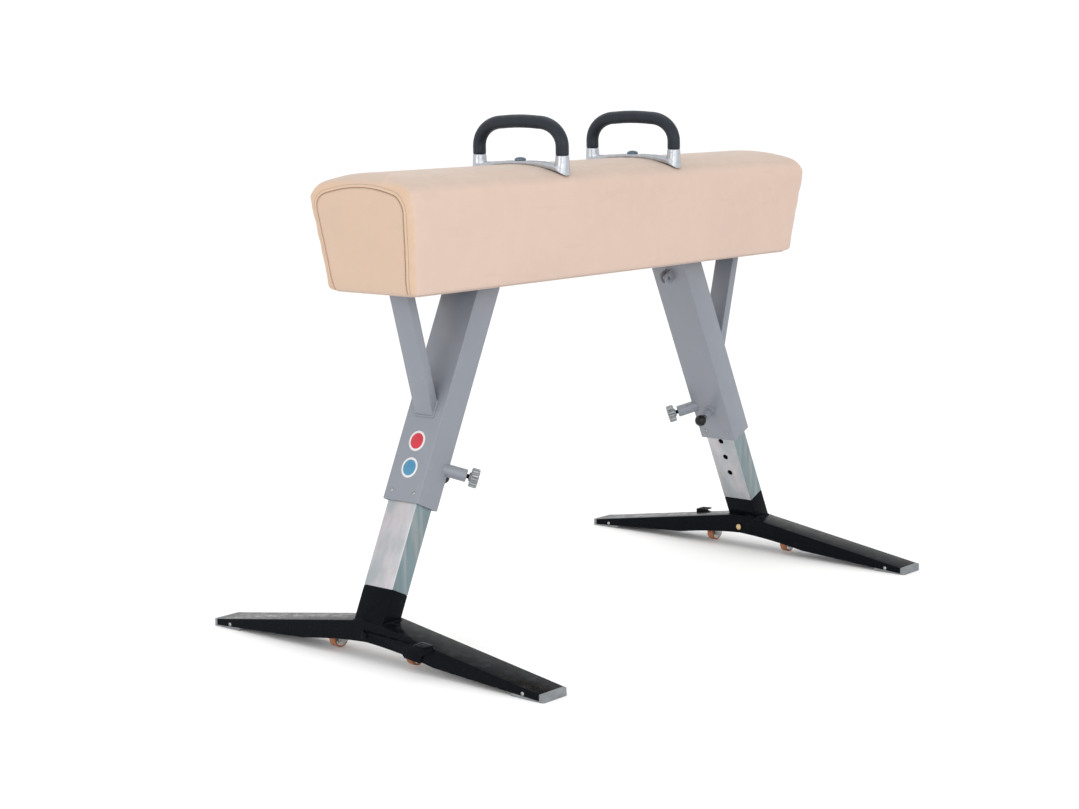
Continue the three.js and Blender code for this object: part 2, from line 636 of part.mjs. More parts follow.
// the painted socket between the inner tube and the beam, in the leg's frame
function footSocket() {
  const tube = rectangularTube(INNER_DEPTH, INNER_WIDTH, INNER_WALL, -SOCKET_REACH, -PAINT_LINE - GAP);
  const half = FOOT_HALF;
  const envelope = shapeOf([[-half, -FAR], [half, -FAR], ...beamTopPoints(half, GAP).reverse()]);
  const beam = slabAlongX(envelope, -FOOT_WIDTH, FOOT_WIDTH);
  const toLeg = legMatrix().invert().multiply(new THREE.Matrix4().makeTranslation(FOOT_X, 0, 0));
  return cut(tube, beam.applyMatrix4(toLeg));
}

function endShoe(side) {
  const { end, lipTop, padFrom, gap } = SHOE;
  const rise = (FOOT_HALF - padFrom) * ((ARCH.bendZ - FOOT_END_BOTTOM) / (FOOT_HALF - ARCH.bendY));
  const outline = [
    [padFrom, 0],
    [end, 0],
    [end, lipTop],
    [FOOT_HALF + gap, beamTop(FOOT_HALF)],
    [FOOT_HALF + gap, FOOT_END_BOTTOM - gap],
    [FOOT_HALF, FOOT_END_BOTTOM - gap],
    [padFrom, FOOT_END_BOTTOM + rise - gap],
  ];
  const shoe = slabAlongX(shapeOf(outline), -FOOT_WIDTH / 2, FOOT_WIDTH / 2);
  return side > 0 ? shoe : shoe.rotateZ(Math.PI);
}

function wheelY(side) {
  return side > 0 ? WHEEL.pedalSide : WHEEL.plainSide;
}

function wheel(side) {
  const { z, radius, width } = WHEEL;
  const { bore, boss, web, rim, recess } = WHEEL_HUB;
  const half = width / 2;
  const face = half - recess;
  const lower = [[bore, -half], [boss, -half], [web, -face], [rim, -face], [rim, -half], [radius, -half]];
  const upper = lower.map(([r, h]) => [r, -h]).reverse();
  const points = [...lower, ...upper, lower[0]].map(([r, h]) => new THREE.Vector2(r, h));
  return new THREE.LatheGeometry(points, 18).translate(0, side * wheelY(side), z);
}

// fork that holds one wheel, hung from a cross shaft inside the beam
function wheelCarrier(side) {
  const { y, z, shaft, plateZ, plate, cheek, halfWidth } = CARRIER;
  const inner = FOOT_WIDTH / 2 - FOOT_WALL - 0.5;
  const half = WHEEL.width / 2 + CHEEK.gap;
  const middle = wheelY(side);
  const far = middle + half + cheek;
  const parts = [
    block([-halfWidth, y, plateZ], [halfWidth, far, plateZ + plate]),
    block([-halfWidth, y - shaft, plateZ], [halfWidth, y + 4, z]),
    bar(WHEEL.axle, [0, middle - half - 1, WHEEL.z], [0, middle + half + 1, WHEEL.z], 16),
  ];
  for (const low of [middle - half - cheek, middle + half]) {
    parts.push(block([-halfWidth, low, WHEEL.z - CHEEK.below], [halfWidth, low + cheek, plateZ + 1]));
  }
  const fork = join(bar(shaft, [-inner, y, z], [inner, y, z]), ...parts);
  return side > 0 ? fork : fork.rotateZ(Math.PI);
}

// lever along the outer flange, its tread to stand on, and the shaft through the beam
function pedal() {
  const near = FOOT_WIDTH / 2 + PEDAL.gap;
  const { z, shaft, plate, treadFrom, treadTo, tread, washer } = PEDAL;
  const over = (y, rise) => [y, beamTop(y) + PEDAL_RISE[rise]];
  const lever = shapeOf([
    ...PEDAL_LOWER_EDGE, over(treadTo, 'low'), over(treadTo, 'highEnd'), over(treadFrom, 'high'),
    ...PEDAL_UPPER_EDGE,
  ]);
  const treadPlate = shapeOf([
    over(treadFrom, 'under'), over(treadTo, 'underEnd'), over(treadTo, 'highEnd'), over(treadFrom, 'high'),
  ]);
  const inner = -FOOT_WIDTH / 2;
  const { radius, reach, gap, boss } = PEDAL_HEAD;
  return join(
    slabAlongX(lever, near, near + plate),
    slabAlongX(treadPlate, near, near + tread),
    bar(shaft, [inner - reach + 2, 0, z], [near + plate + boss, 0, z]),
    bar(washer, [near + plate - 1, 0, z], [near + plate + boss, 0, z]),
    bar(radius, [inner - reach, 0, z], [inner - gap, 0, z], 6),
  );
}

// ---- one end of the horse: leg, brace, foot ----
function legMatrix() {
  const turn = new THREE.Matrix4().makeRotationY(-LEG_TILT);
  return new THREE.Matrix4().makeTranslation(LEG_TOP_X, 0, BODY_BOTTOM).multiply(turn);
}

function brace() {
  const tube = rectangularTube(BRACE_DEPTH, BRACE_WIDTH, BRACE_WALL, -BRACE_REACH, SPARE);
  tube.rotateY(BRACE_TILT).translate(BRACE_TOP_X, 0, BODY_BOTTOM);
  const face = block([-FAR, -FAR, -FAR], [OUTER_DEPTH / 2 + GAP, FAR, FAR]).applyMatrix4(legMatrix());
  const plate = block([-FAR, -FAR, BODY_BOTTOM - GAP], [FAR, FAR, FAR]);
  return cut(tube, face, plate);
}

function mountPlate() {
  const { from, to, width, thickness } = PLATE;
  return block([from, -width / 2, BODY_BOTTOM], [to, width / 2, BODY_BOTTOM + thickness]);
}

function addLeg(group, name) {
  place(group, `${name}_outer_tube`, outerTube(), GREY_PAINT);
  place(group, `${name}_lower_bush`, lowerBush(), GUIDE_PLASTIC);
  place(group, `${name}_upper_bush`, upperBush(), GUIDE_PLASTIC);
  place(group, `${name}_inner_tube`, innerTube(), ZINC);
  place(group, `${name}_foot_socket`, footSocket(), BLACK_PAINT);
  place(group, `${name}_clamp_boss`, clampBoss(), ALUMINIUM);
  const stud = bar(STUD_RADIUS, clampPoint(STUD_INNER_END), clampPoint(KNOB.to - KNOB.cap - 1));
  place(group, `${name}_clamp_stud`, stud, BLACK_PAINT);
  place(group, `${name}_clamp_knob`, clampKnob(), ALUMINIUM);
  place(group, `${name}_plunger_housing`, plungerHousing(), GREY_PAINT);
  place(group, `${name}_plunger_pin`, plungerPin(), STEEL);
  place(group, `${name}_plunger_ball`, plungerBall(), BLACK_PLASTIC);
  place(group, `${name}_plunger_spring`, plungerSpring(), STEEL);
}

function addFoot(group, name) {
  place(group, `${name}_foot_beam`, footBeam(), BLACK_PAINT);
  place(group, `${name}_pedal`, pedal(), BLACK_PAINT);
  for (const [side, where] of [[1, 'pedal_side'], [-1, 'plain_side']]) {
    place(group, `${name}_${where}_shoe`, endShoe(side), SHOE_GREY);
    place(group, `${name}_${where}_wheel`, wheel(side), TREAD_ORANGE);
    place(group, `${name}_${where}_carrier`, wheelCarrier(side), STEEL);
  }
}

function buildEnd(name) {
  const end = new THREE.Group();
  place(end, `${name}_mount_plate`, mountPlate(), GREY_PAINT);
  place(end, `${name}_brace`, brace(), GREY_PAINT);
  const leg = new THREE.Group();
  leg.position.set(LEG_TOP_X, 0, BODY_BOTTOM);
  leg.rotation.y = -LEG_TILT;
  addLeg(leg, name);
  const foot = new THREE.Group();
  foot.position.x = FOOT_X;
  addFoot(foot, name);
  end.add(leg, foot);
  return end;
}

// ---- the whole horse ----
const horse = new THREE.Group();

const body = new THREE.Group();
body.position.z = BODY_BOTTOM;
addBody(body);
horse.add(body);

for (const [name, side] of [['left', -1], ['right', 1]]) {
  const pommel = new THREE.Group();
  pommel.position.x = side * POMMEL_X;
  addPommel(pommel, name);
  const end = buildEnd(name);
  end.rotation.z = side > 0 ? 0 : Math.PI;
  horse.add(pommel, end);
}

export default horse;
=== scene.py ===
"""Looks of the pommel horse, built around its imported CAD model.

Metres, +Z up, X along the horse. The two ends are one assembly turned half a turn about Z,
so most pieces are made for the end at +X and then placed at both.
"""

import json
import math

import bmesh
import bpy
import numpy as np
from mathutils import Matrix, Vector
from mathutils.bvhtree import BVHTree

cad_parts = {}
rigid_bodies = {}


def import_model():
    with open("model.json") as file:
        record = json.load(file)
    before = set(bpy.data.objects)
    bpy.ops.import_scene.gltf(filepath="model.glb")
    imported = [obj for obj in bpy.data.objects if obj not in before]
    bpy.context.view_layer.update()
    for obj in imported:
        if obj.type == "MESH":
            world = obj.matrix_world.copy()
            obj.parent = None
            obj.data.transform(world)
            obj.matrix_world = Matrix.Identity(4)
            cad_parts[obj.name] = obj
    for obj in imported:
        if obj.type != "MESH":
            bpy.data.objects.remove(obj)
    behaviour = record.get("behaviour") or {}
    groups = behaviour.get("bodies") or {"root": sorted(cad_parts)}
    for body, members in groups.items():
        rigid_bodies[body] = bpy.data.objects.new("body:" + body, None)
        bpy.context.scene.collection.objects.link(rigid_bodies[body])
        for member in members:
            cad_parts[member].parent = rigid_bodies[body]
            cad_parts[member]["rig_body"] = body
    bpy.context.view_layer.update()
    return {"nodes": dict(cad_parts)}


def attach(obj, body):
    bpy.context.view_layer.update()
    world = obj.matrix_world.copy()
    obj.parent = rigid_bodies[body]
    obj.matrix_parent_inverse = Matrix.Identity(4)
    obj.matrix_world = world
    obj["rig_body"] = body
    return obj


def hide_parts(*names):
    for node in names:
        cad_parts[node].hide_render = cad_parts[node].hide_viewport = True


ENDS = {"left": -1, "right": 1}

# camera
CAMERA_PLACE = (-4.2759, -3.5372, 1.3903)
CAMERA_YAW = 0.8599
CAMERA_PITCH = 0.1546
CAMERA_ROLL = 0.0131
CAMERA_LENS = 70.35

# horse body
BODY_BOTTOM = 0.886
BODY_HEIGHT = 0.284
HALF_LENGTH_LOW = 0.775
HALF_LENGTH_HIGH = 0.808
HALF_WIDTH_LOW = 0.150
HALF_WIDTH_HIGH = 0.175
CROWN_RADIUS = 0.600
SHOULDER_RADIUS = 0.056
NOSE_RADIUS = 0.054
CORNER_RADIUS = 0.009
SHOULDER_Y = HALF_WIDTH_HIGH - SHOULDER_RADIUS
CROWN_LEAN = math.asin(SHOULDER_Y / (CROWN_RADIUS - SHOULDER_RADIUS))
SHOULDER_Z = BODY_HEIGHT - CROWN_RADIUS + (CROWN_RADIUS - SHOULDER_RADIUS) * math.cos(CROWN_LEAN)
SIDE_LEAN = math.atan2(HALF_WIDTH_HIGH - HALF_WIDTH_LOW, SHOULDER_Z)
START_INSET = 0.0010
LEAN_TOP = 0.222
VOXEL = 0.0065
SWELL_CAP = 0.002
SWELL_FRAMES = 20
PINNED_HEIGHT = 0.018
OPENING = (0.738, 0.113)
OPENING_HEIGHT = 0.004
SLOT_HALF = 0.008
SLOT_DEPTH = (0.245, 0.350)
PANEL_FOOT_Y = 0.1255
PANEL_CORNER = (0.1045, 0.199)
PANEL_CORNER_RADIUS = 0.043
PANEL_CORNER_TURN = math.radians(78)
PANEL_CROWN_Z = 0.256
NAIL_OUTSET = 0.014
NAIL_STEP = 0.045
SEAM_STEP = 0.0033
SEAM_HALF = 0.0034
SEAM_RISE = 0.0011

# pommels
POMMEL_X = 0.230
POMMEL_TRAVEL = 0.030
GRIP_HALF_SPAN = 0.139
GRIP_TOP = 1.277
GRIP_FOOT = 1.194
GRIP_BEND = (0.080, 0.062)
GRIP_CROWN = 0.0025
GRIP_RADIUS = 0.0168
SADDLE_TOP = BODY_BOTTOM + BODY_HEIGHT + 0.009
SADDLE_LEAN = math.asin((0.151 - SHOULDER_Y) / SHOULDER_RADIUS)
SKIN_GAP = 0.0003
CAP_RADIUS = 0.0148
CAP_SEAT = SADDLE_TOP + 0.0003
CAP_RIM = SADDLE_TOP + 0.0030
CAP_RISE = 0.0062
STRAP_HALF = 0.023
TOE_START = 0.128
TOE_LENGTH = 0.0232
POST_RADIUS = 0.0176

# legs
LEG_TILT = math.radians(24.75)
LEG_TOP_X = 0.415
OUTER_DEPTH = 0.075
OUTER_WIDTH = 0.118
INNER_WIDTH = 0.096
CLAMP_AT = 0.475
INDEX_AT = 0.484
BUSH_AT = 0.556
KNOB_FLUTES = 18
KNOB_RADIUS = 0.0240
FLUTE_DEPTH = 0.0020
BALL_RADIUS = 0.0160
BALL_CENTER = 0.0510
GUIDE_SCREW_Y = 0.037
LABEL_RADIUS = 0.0258

# feet
FOOT_X = 0.7745
FOOT_WIDTH = 0.086
FOOT_HALF = 0.546
FOOT_SLOPE = 0.1545
FOOT_END_TOP = 0.019
WHEEL_Y = {"pedal_side": 0.122, "plain_side": 0.140}
WHEEL_Z = 0.030
SHOE_SCREW = (0.497, 0.012)
PIVOT_Z = 0.066
TREAD_RIBS = 5
TREAD_RIB_STEP = 0.0060
TREAD_RIB_RADIUS = 0.0014

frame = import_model()
NODES = frame["nodes"]


# ---- materials ----
class Finish:
    """A Principled material with short calls for the nodes that the finishes here use."""

    def __init__(self, name, color, roughness, **more):
        self.material = bpy.data.materials.new(name)
        self.material.use_nodes = True
        self.tree = self.material.node_tree
        self.shader = self.tree.nodes["Principled BSDF"]
        self.coords = self.tree.nodes.new("ShaderNodeTexCoord")
        self.last_bump = None
        self.set("Base Color", (*color, 1))
        self.set("Roughness", roughness)
        for key, value in more.items():
            self.set(key.replace("_", " "), value)

    def set(self, socket, value):
        self.shader.inputs[socket].default_value = value

    def node(self, kind, **values):
        made = self.tree.nodes.new("ShaderNode" + kind)
        for key, value in values.items():
            setattr(made, key, value)
        return made

    def link(self, output, socket):
        self.tree.links.new(output, socket)

    def place(self, stretch=(1, 1, 1)):
        mapping = self.node("Mapping")
        mapping.inputs["Scale"].default_value = stretch
        self.link(self.coords.outputs["Object"], mapping.inputs["Vector"])
        return mapping.outputs["Vector"]

    def noise(self, scale, detail, stretch=(1, 1, 1)):
        texture = self.node("TexNoise")
        texture.inputs["Scale"].default_value = scale
        texture.inputs["Detail"].default_value = detail
        self.link(self.place(stretch), texture.inputs["Vector"])
        return texture.outputs["Fac"]

    def cells(self, scale):
        texture = self.node("TexVoronoi")
        texture.inputs["Scale"].default_value = scale
        self.link(self.place(), texture.inputs["Vector"])
        return texture.outputs["Distance"]

    def normal(self, which):
        split = self.node("SeparateXYZ")
        self.link(self.coords.outputs["Normal"], split.inputs[0])
        return split.outputs[which]

    def math(self, operation, a, b=None):
        made = self.node("Math", operation=operation)
        for socket, value in zip(made.inputs, (a, b)):
            if value is None:
                continue
            if isinstance(value, (int, float)):
                socket.default_value = value
            else:
                self.link(value, socket)
        return made.outputs[0]

    def between(self, value, low, high, out_low=0.0, out_high=1.0):
        made = self.node("MapRange", interpolation_type="SMOOTHSTEP")
        self.link(value, made.inputs["Value"])
        limits = {"From Min": low, "From Max": high, "To Min": out_low, "To Max": out_high}
        for socket, number in limits.items():
            made.inputs[socket].default_value = number
        return made.outputs["Result"]

    def patches(self, scale, detail, low, high, stretch=(1, 1, 1)):
        """Soft-edged patches, 1 where the noise is over the high limit and 0 under the low one."""
        return self.between(self.noise(scale, detail, stretch), low, high)

    def tint(self, tone, patches, share, color):
        """Mixes up to a share of the colour into the tone where the patches lie."""
        return self.mix(self.math("MULTIPLY", patches, share), tone, color)

    def mix(self, factor, first, second):
        made = self.node("Mix", data_type="RGBA")
        self.link(factor, made.inputs["Factor"])
        for socket, value in ((made.inputs[6], first), (made.inputs[7], second)):
            if isinstance(value, tuple):
                socket.default_value = (*value, 1)
            else:
                self.link(value, socket)
        return made.outputs[2]

    def color(self, output):
        self.link(output, self.shader.inputs["Base Color"])

    def roughness(self, output):
        self.link(output, self.shader.inputs["Roughness"])

    def bump(self, height, distance, strength=1.0):
        made = self.node("Bump")
        made.inputs["Strength"].default_value = strength
        made.inputs["Distance"].default_value = distance
        self.link(height, made.inputs["Height"])
        if self.last_bump is not None:
            self.link(self.last_bump, made.inputs["Normal"])
        self.last_bump = made.outputs["Normal"]
        self.link(self.last_bump, self.shader.inputs["Normal"])


def shade(color, factor):
    return tuple(min(1.0, channel * factor) for channel in color)


LEATHER_SIDE = (0.562, 0.418, 0.345)
LEATHER_STRIP = (0.545, 0.385, 0.270)
LEATHER_PANEL = (0.530, 0.385, 0.290)
# painted shade: the top colour is darker and greyer than the sides, standing for the shade on the top
LEATHER_TOP_PAINTED_SHADE = (0.480, 0.375, 0.305)


def leather(name, main, top, strip):
    """Natural cowhide: cloudy tone, faint fat lines, fine pores, and a top painted darker and greyer as
    shade.
    """
    hide = Finish(name, main, 0.62, Specular_IOR_Level=0.35, Sheen_Weight=0.12, Sheen_Roughness=0.5)
    facing_end = hide.math("ABSOLUTE", hide.normal("X"))
    up_facing_painted_shade = hide.normal("Z")
    tone = hide.mix(hide.between(facing_end, 0.35, 0.8), main, strip)
    # painted shade: what faces up is mixed towards the darker top colour
    tone = hide.mix(hide.between(up_facing_painted_shade, 0.45, 0.9), tone, top)
    tone = hide.tint(tone, hide.patches(4.5, 4, 0.35, 0.70), 0.30, shade(main, 0.90))
    tone = hide.tint(tone, hide.patches(23, 5, 0.42, 0.72), 0.22, shade(main, 1.08))
    lines = hide.patches(16, 6, 0.60, 0.70, (0.5, 1, 2.6))
    tone = hide.tint(tone, lines, 0.16, shade(strip, 0.88))
    pores = hide.cells(820)
    dots = hide.between(pores, 0.10, 0.34, 0.12, 0.0)
    hide.color(hide.mix(dots, tone, shade(main, 0.72)))
    hide.roughness(hide.between(hide.noise(60, 3), 0.3, 0.7, 0.56, 0.70))
    hide.bump(hide.noise(9, 3), 0.0016, 0.35)
    hide.bump(hide.noise(140, 4), 0.0003, 0.35)
    hide.bump(pores, 0.00018, 0.5)
    return hide.material


def powder_coat(name, color, roughness, peel, coat=0.0):
    """Baked paint with the faint orange peel that powder leaves, and dull rubbed patches."""
    paint = Finish(name, color, roughness, Coat_Weight=coat, Coat_Roughness=0.25)
    paint.color(paint.tint(color, paint.patches(14, 5, 0.45, 0.75), 0.35, shade(color, 1.12)))
    paint.roughness(paint.between(paint.noise(30, 4), 0.3, 0.7, roughness * 0.85, roughness * 1.2))
    paint.bump(paint.noise(420, 2), peel, 0.4)
    return paint.material


def black_powder_coat(name):
    """Gloss black paint with floor dust lying on what faces up, and fine scuffs."""
    color = (0.0036, 0.0048, 0.0066)
    paint = Finish(name, color, 0.2, Specular_IOR_Level=0.035)
    up = paint.between(paint.normal("Z"), 0.5, 0.95)
    dust = paint.math("MULTIPLY", up, paint.patches(35, 5, 0.42, 0.8))
    tone = paint.tint(color, dust, 0.06, (0.30, 0.30, 0.29))
    scuffs = paint.patches(90, 6, 0.64, 0.70, (0.25, 1, 3))
    paint.color(paint.tint(tone, scuffs, 0.06, (0.10, 0.10, 0.10)))
    paint.roughness(paint.between(paint.noise(50, 4), 0.3, 0.75, 0.14, 0.30))
    paint.bump(paint.noise(380, 2), 0.00008, 0.4)
    return paint.material


def plated_zinc(name):
    """Zinc plated steel tube: long drawn streaks, faint teal and brown clouds, and the outer face painted
    paler as light and reflection, the other faces darker teal as shade.
    """
    zinc = Finish(name, (0.2, 0.24, 0.245), 0.36, Metallic=0.9)
    # painted light and shade: faces towards the ends are painted pale as lit, the rest dark teal as
    # shaded
    outward = zinc.between(zinc.math("ABSOLUTE", zinc.normal("X")), 0.5, 0.8)
    tone = zinc.mix(outward, (0.180, 0.235, 0.250), (0.490, 0.475, 0.500))
    clouds = zinc.patches(16, 4, 0.42, 0.62, (1, 1, 0.3))
    tone = zinc.tint(tone, clouds, 0.50, (0.220, 0.310, 0.335))
    streaks = zinc.patches(75, 4, 0.42, 0.72, (1, 1, 0.06))
    zinc.color(zinc.tint(tone, streaks, 0.45, (0.430, 0.395, 0.385)))
    zinc.roughness(zinc.between(zinc.noise(60, 4, (1, 1, 0.1)), 0.3, 0.7, 0.28, 0.44))
    zinc.bump(zinc.noise(160, 3, (1, 1, 0.05)), 0.00005, 0.4)
    return zinc.material


def metal(name, color, roughness, grain_scale, grain, stretch=(1, 1, 1)):
    """Bare metal with a directional or cast surface grain and slight tarnish."""
    bare = Finish(name, color, roughness, Metallic=1.0)
    bare.color(bare.tint(color, bare.patches(45, 5, 0.4, 0.75), 0.35, shade(color, 0.78)))
    bare.roughness(bare.between(bare.noise(80, 4, stretch), 0.3, 0.7, roughness * 0.75, roughness * 1.3))
    bare.bump(bare.noise(grain_scale, 3, stretch), grain, 0.5)
    return bare.material


def moulding(name, color, roughness, grain_scale, grain, variation=0.12):
    """Moulded plastic, rubber or polyurethane with a fine texture and uneven tone."""
    body = Finish(name, color, roughness, Specular_IOR_Level=0.30)
    uneven = body.patches(38, 4, 0.35, 0.7)
    body.color(body.mix(uneven, shade(color, 1 - variation), shade(color, 1 + variation)))
    body.roughness(body.between(body.noise(70, 3), 0.3, 0.7, roughness * 0.88, roughness * 1.12))
    body.bump(body.noise(grain_scale, 3), grain, 0.6)
    return body.material


def birch(name):
    """Sanded birch plywood with long grain along X."""
    wood = Finish(name, (0.62, 0.43, 0.25), 0.6)
    grain = wood.noise(20, 6, (0.12, 3, 3))
    tone = wood.mix(wood.between(grain, 0.35, 0.7), (0.50, 0.33, 0.18), (0.70, 0.51, 0.31))
    flecks = wood.patches(160, 3, 0.62, 0.72, (0.1, 2, 2))
    wood.color(wood.tint(tone, flecks, 0.4, (0.36, 0.22, 0.12)))
    wood.bump(grain, 0.0003, 0.4)
    return wood.material


def make_materials():
    grey = (0.203, 0.218, 0.252)
    return {
        "leather": leather("leather_cowhide", LEATHER_SIDE, LEATHER_TOP_PAINTED_SHADE, LEATHER_STRIP),
        "panel": leather("leather_panel", LEATHER_PANEL, LEATHER_PANEL, LEATHER_PANEL),
        # painted shade: the groove and crease colours are dark strips that stand for the shade beside the
        # welt
        "groove": leather("leather_groove", *[(0.22, 0.145, 0.10)] * 3),
        "painted_crease_shade": leather("leather_painted_crease_shade", *[(0.38, 0.27, 0.195)] * 3),
        # the welt's second colour is its top, painted darker as shade
        "welt": leather("leather_welt", (0.57, 0.41, 0.30), (0.52, 0.40, 0.31), (0.55, 0.39, 0.27)),
        "thread": moulding("waxed_thread", (0.44, 0.31, 0.23), 0.6, 1800, 0.0001),
        "plywood": birch("birch_plywood"),
        "grey": powder_coat("grey_powder_coat", grey, 0.34, 0.00002, 0.15),
        "black": black_powder_coat("black_powder_coat"),
        "zinc": plated_zinc("zinc_plated_tube"),
        "steel": metal("plated_steel", (0.40, 0.40, 0.39), 0.32, 500, 0.00004, (1, 1, 6)),
        "aluminium": metal("cast_aluminium", (0.47, 0.49, 0.52), 0.36, 620, 0.00003),
        "knob": metal("cast_knob", (0.29, 0.305, 0.32), 0.4, 620, 0.00005),
        "cap": metal("screw_cap", (0.13, 0.17, 0.21), 0.33, 700, 0.00003),
        "brass": metal("nail_brass", (0.55, 0.42, 0.22), 0.35, 500, 0.00005),
        "grip": moulding("grip_sleeve", (0.0095, 0.0145, 0.0225), 0.44, 1500, 0.00010),
        "black_plastic": moulding("black_plastic", (0.004, 0.0045, 0.005), 0.28, 900, 0.00003),
        "nylon": moulding("nylon_guide", (0.72, 0.72, 0.69), 0.5, 700, 0.00005),
        "shoe": moulding("shoe_moulding", (0.200, 0.213, 0.222), 0.62, 900, 0.00015),
        "tread": moulding("wheel_tread", (0.33, 0.125, 0.055), 0.5, 800, 0.00008),
        "hub": metal("wheel_hub", (0.52, 0.53, 0.54), 0.35, 800, 0.00004),
        "label_white": moulding("label_white", (0.62, 0.62, 0.62), 0.35, 900, 0.00002, 0.03),
        "label_red": moulding("label_red", (0.50, 0.03, 0.05), 0.35, 900, 0.00002, 0.05),
        "label_blue": moulding("label_blue", (0.06, 0.22, 0.36), 0.35, 900, 0.00002, 0.05),
    }


# ---- mesh helpers ----
def new_object(name, mesh, material=None):
    piece = bpy.data.objects.new(name, mesh)
    bpy.context.scene.collection.objects.link(piece)
    if material is not None:
        mesh.materials.clear()
        mesh.materials.append(material)
    return piece


def shade_smooth(mesh, angle):
    mesh.polygons.foreach_set("use_smooth", [True] * len(mesh.polygons))
    mesh.set_sharp_from_angle(angle=math.radians(angle))


def shaped(name, points, faces, material=None, smooth_angle=None):
    """An object from points and faces, its normals outward; flat shaded unless given an angle."""
    mesh = bpy.data.meshes.new(name)
    mesh.from_pydata([tuple(p) for p in points], [], faces)
    mesh.update()
    work = bmesh.new()
    work.from_mesh(mesh)
    bmesh.ops.recalc_face_normals(work, faces=work.faces)
    work.to_mesh(mesh)
    work.free()
    if smooth_angle is not None:
        shade_smooth(mesh, smooth_angle)
    return new_object(name, mesh, material)


def apply_modifiers(piece):
    graph = bpy.context.evaluated_depsgraph_get()
    result = bpy.data.meshes.new_from_object(piece.evaluated_get(graph))
    old = piece.data
    piece.modifiers.clear()
    piece.data = result
    bpy.data.meshes.remove(old)


def remove(piece):
    mesh = piece.data
    bpy.data.objects.remove(piece)
    bpy.data.meshes.remove(mesh)


def boolean(piece, tool, operation):
    change = piece.modifiers.new("change", "BOOLEAN")
    change.operation = operation
    change.solver = "EXACT"
    change.object = tool
    bpy.context.view_layer.update()
    apply_modifiers(piece)
    remove(tool)


def frame_along(direction):
    """Turns +Z to the direction."""
    return Vector(direction).to_track_quat("Z", "Y").to_matrix().to_4x4()


def ring_faces(rings, sides, closed_ends=True, wrap=False):
    faces = []
    last = rings if wrap else rings - 1
    for r in range(last):
        for s in range(sides):
            t = (s + 1) % sides
            q = (r + 1) % rings
            faces.append((r * sides + s, r * sides + t, q * sides + t, q * sides + s))
    if closed_ends:
        faces.append(tuple(reversed(range(sides))))
        faces.append(tuple((rings - 1) * sides + s for s in range(sides)))
    return faces


def circle(radius, height, count):
    turns = [2 * math.pi * i / count for i in range(count)]
    return [(radius * math.cos(turn), radius * math.sin(turn), height) for turn in turns]


def heading(line, i):
    """Direction of a line of points at one of them."""
    return (line[min(i + 1, len(line) - 1)] - line[max(i - 1, 0)]).normalized()


def turned(name, profile, material, segments=40, angle=35):
    """A lathe shape about +Z from (radius, height) points; a radius of 0 closes an end."""
    points = []
    faces = []
    rings = []
    for radius, height in profile:
        if radius < 1e-7:
            rings.append([len(points)])
            points.append((0, 0, height))
            continue
        rings.append(list(range(len(points), len(points) + segments)))
        points += circle(radius, height, segments)
    for low, high in zip(rings, rings[1:]):
        for i in range(segments):
            j = (i + 1) % segments
            corners = [low[i % len(low)], low[j % len(low)], high[j % len(high)], high[i % len(high)]]
            face = list(dict.fromkeys(corners))
            if len(face) > 2:
                faces.append(tuple(face))
    return shaped(name, points, faces, material, angle)


def swept(name, path, radii, material, sides, side_axis=None):
    """A round bar along a path of points, with a radius for each."""
    path = [Vector(p) for p in path]
    points = []
    side = Vector(side_axis) if side_axis is not None else None
    for i, here in enumerate(path):
        along = heading(path, i)
        if side is None:
            side = along.orthogonal().normalized()
        side = (side - along * side.dot(along)).normalized()
        up = along.cross(side)
        for s in range(sides):
            turn = 2 * math.pi * s / sides
            points.append(here + side * radii[i] * math.cos(turn) + up * radii[i] * math.sin(turn))
    return shaped(name, points, ring_faces(len(path), sides), material, 50)


def extruded(name, outline, low, high, material=None, axes=(0, 1, 2)):
    """A prism: an outline in the first two axes, extruded along the third."""
    points = []
    for level in (low, high):
        for a, b in outline:
            place = [0.0, 0.0, 0.0]
            place[axes[0]], place[axes[1]], place[axes[2]] = a, b, level
            points.append(place)
    return shaped(name, points, ring_faces(2, len(outline)), material)


def block(name, low, high):
    outline = [(low[0], low[1]), (high[0], low[1]), (high[0], high[1]), (low[0], high[1])]
    return extruded(name, outline, low[2], high[2])


def merge_flat(work):
    """Joins doubled corners and drops the edges that lie inside a flat face."""
    bmesh.ops.remove_doubles(work, verts=work.verts, dist=2e-6)
    bmesh.ops.dissolve_limit(work, angle_limit=math.radians(0.5), verts=work.verts, edges=work.edges)


def round_off(work, edges, width, segments):
    bmesh.ops.bevel(
        work, geom=edges, offset=width, segments=segments, profile=0.5, affect="EDGES", clamp_overlap=True
    )


def bevel_edges(piece, width, segments=2, angle=30, shortest=0.0):
    work = bmesh.new()
    work.from_mesh(piece.data)
    merge_flat(work)
    sharp = math.radians(angle)
    chosen = []
    for edge in work.edges:
        if edge.is_manifold and edge.calc_face_angle(0) > sharp and edge.calc_length() >= shortest:
            chosen.append(edge)
    round_off(work, chosen, width, segments)
    bmesh.ops.recalc_face_normals(work, faces=work.faces)
    work.to_mesh(piece.data)
    work.free()
    shade_smooth(piece.data, 40)


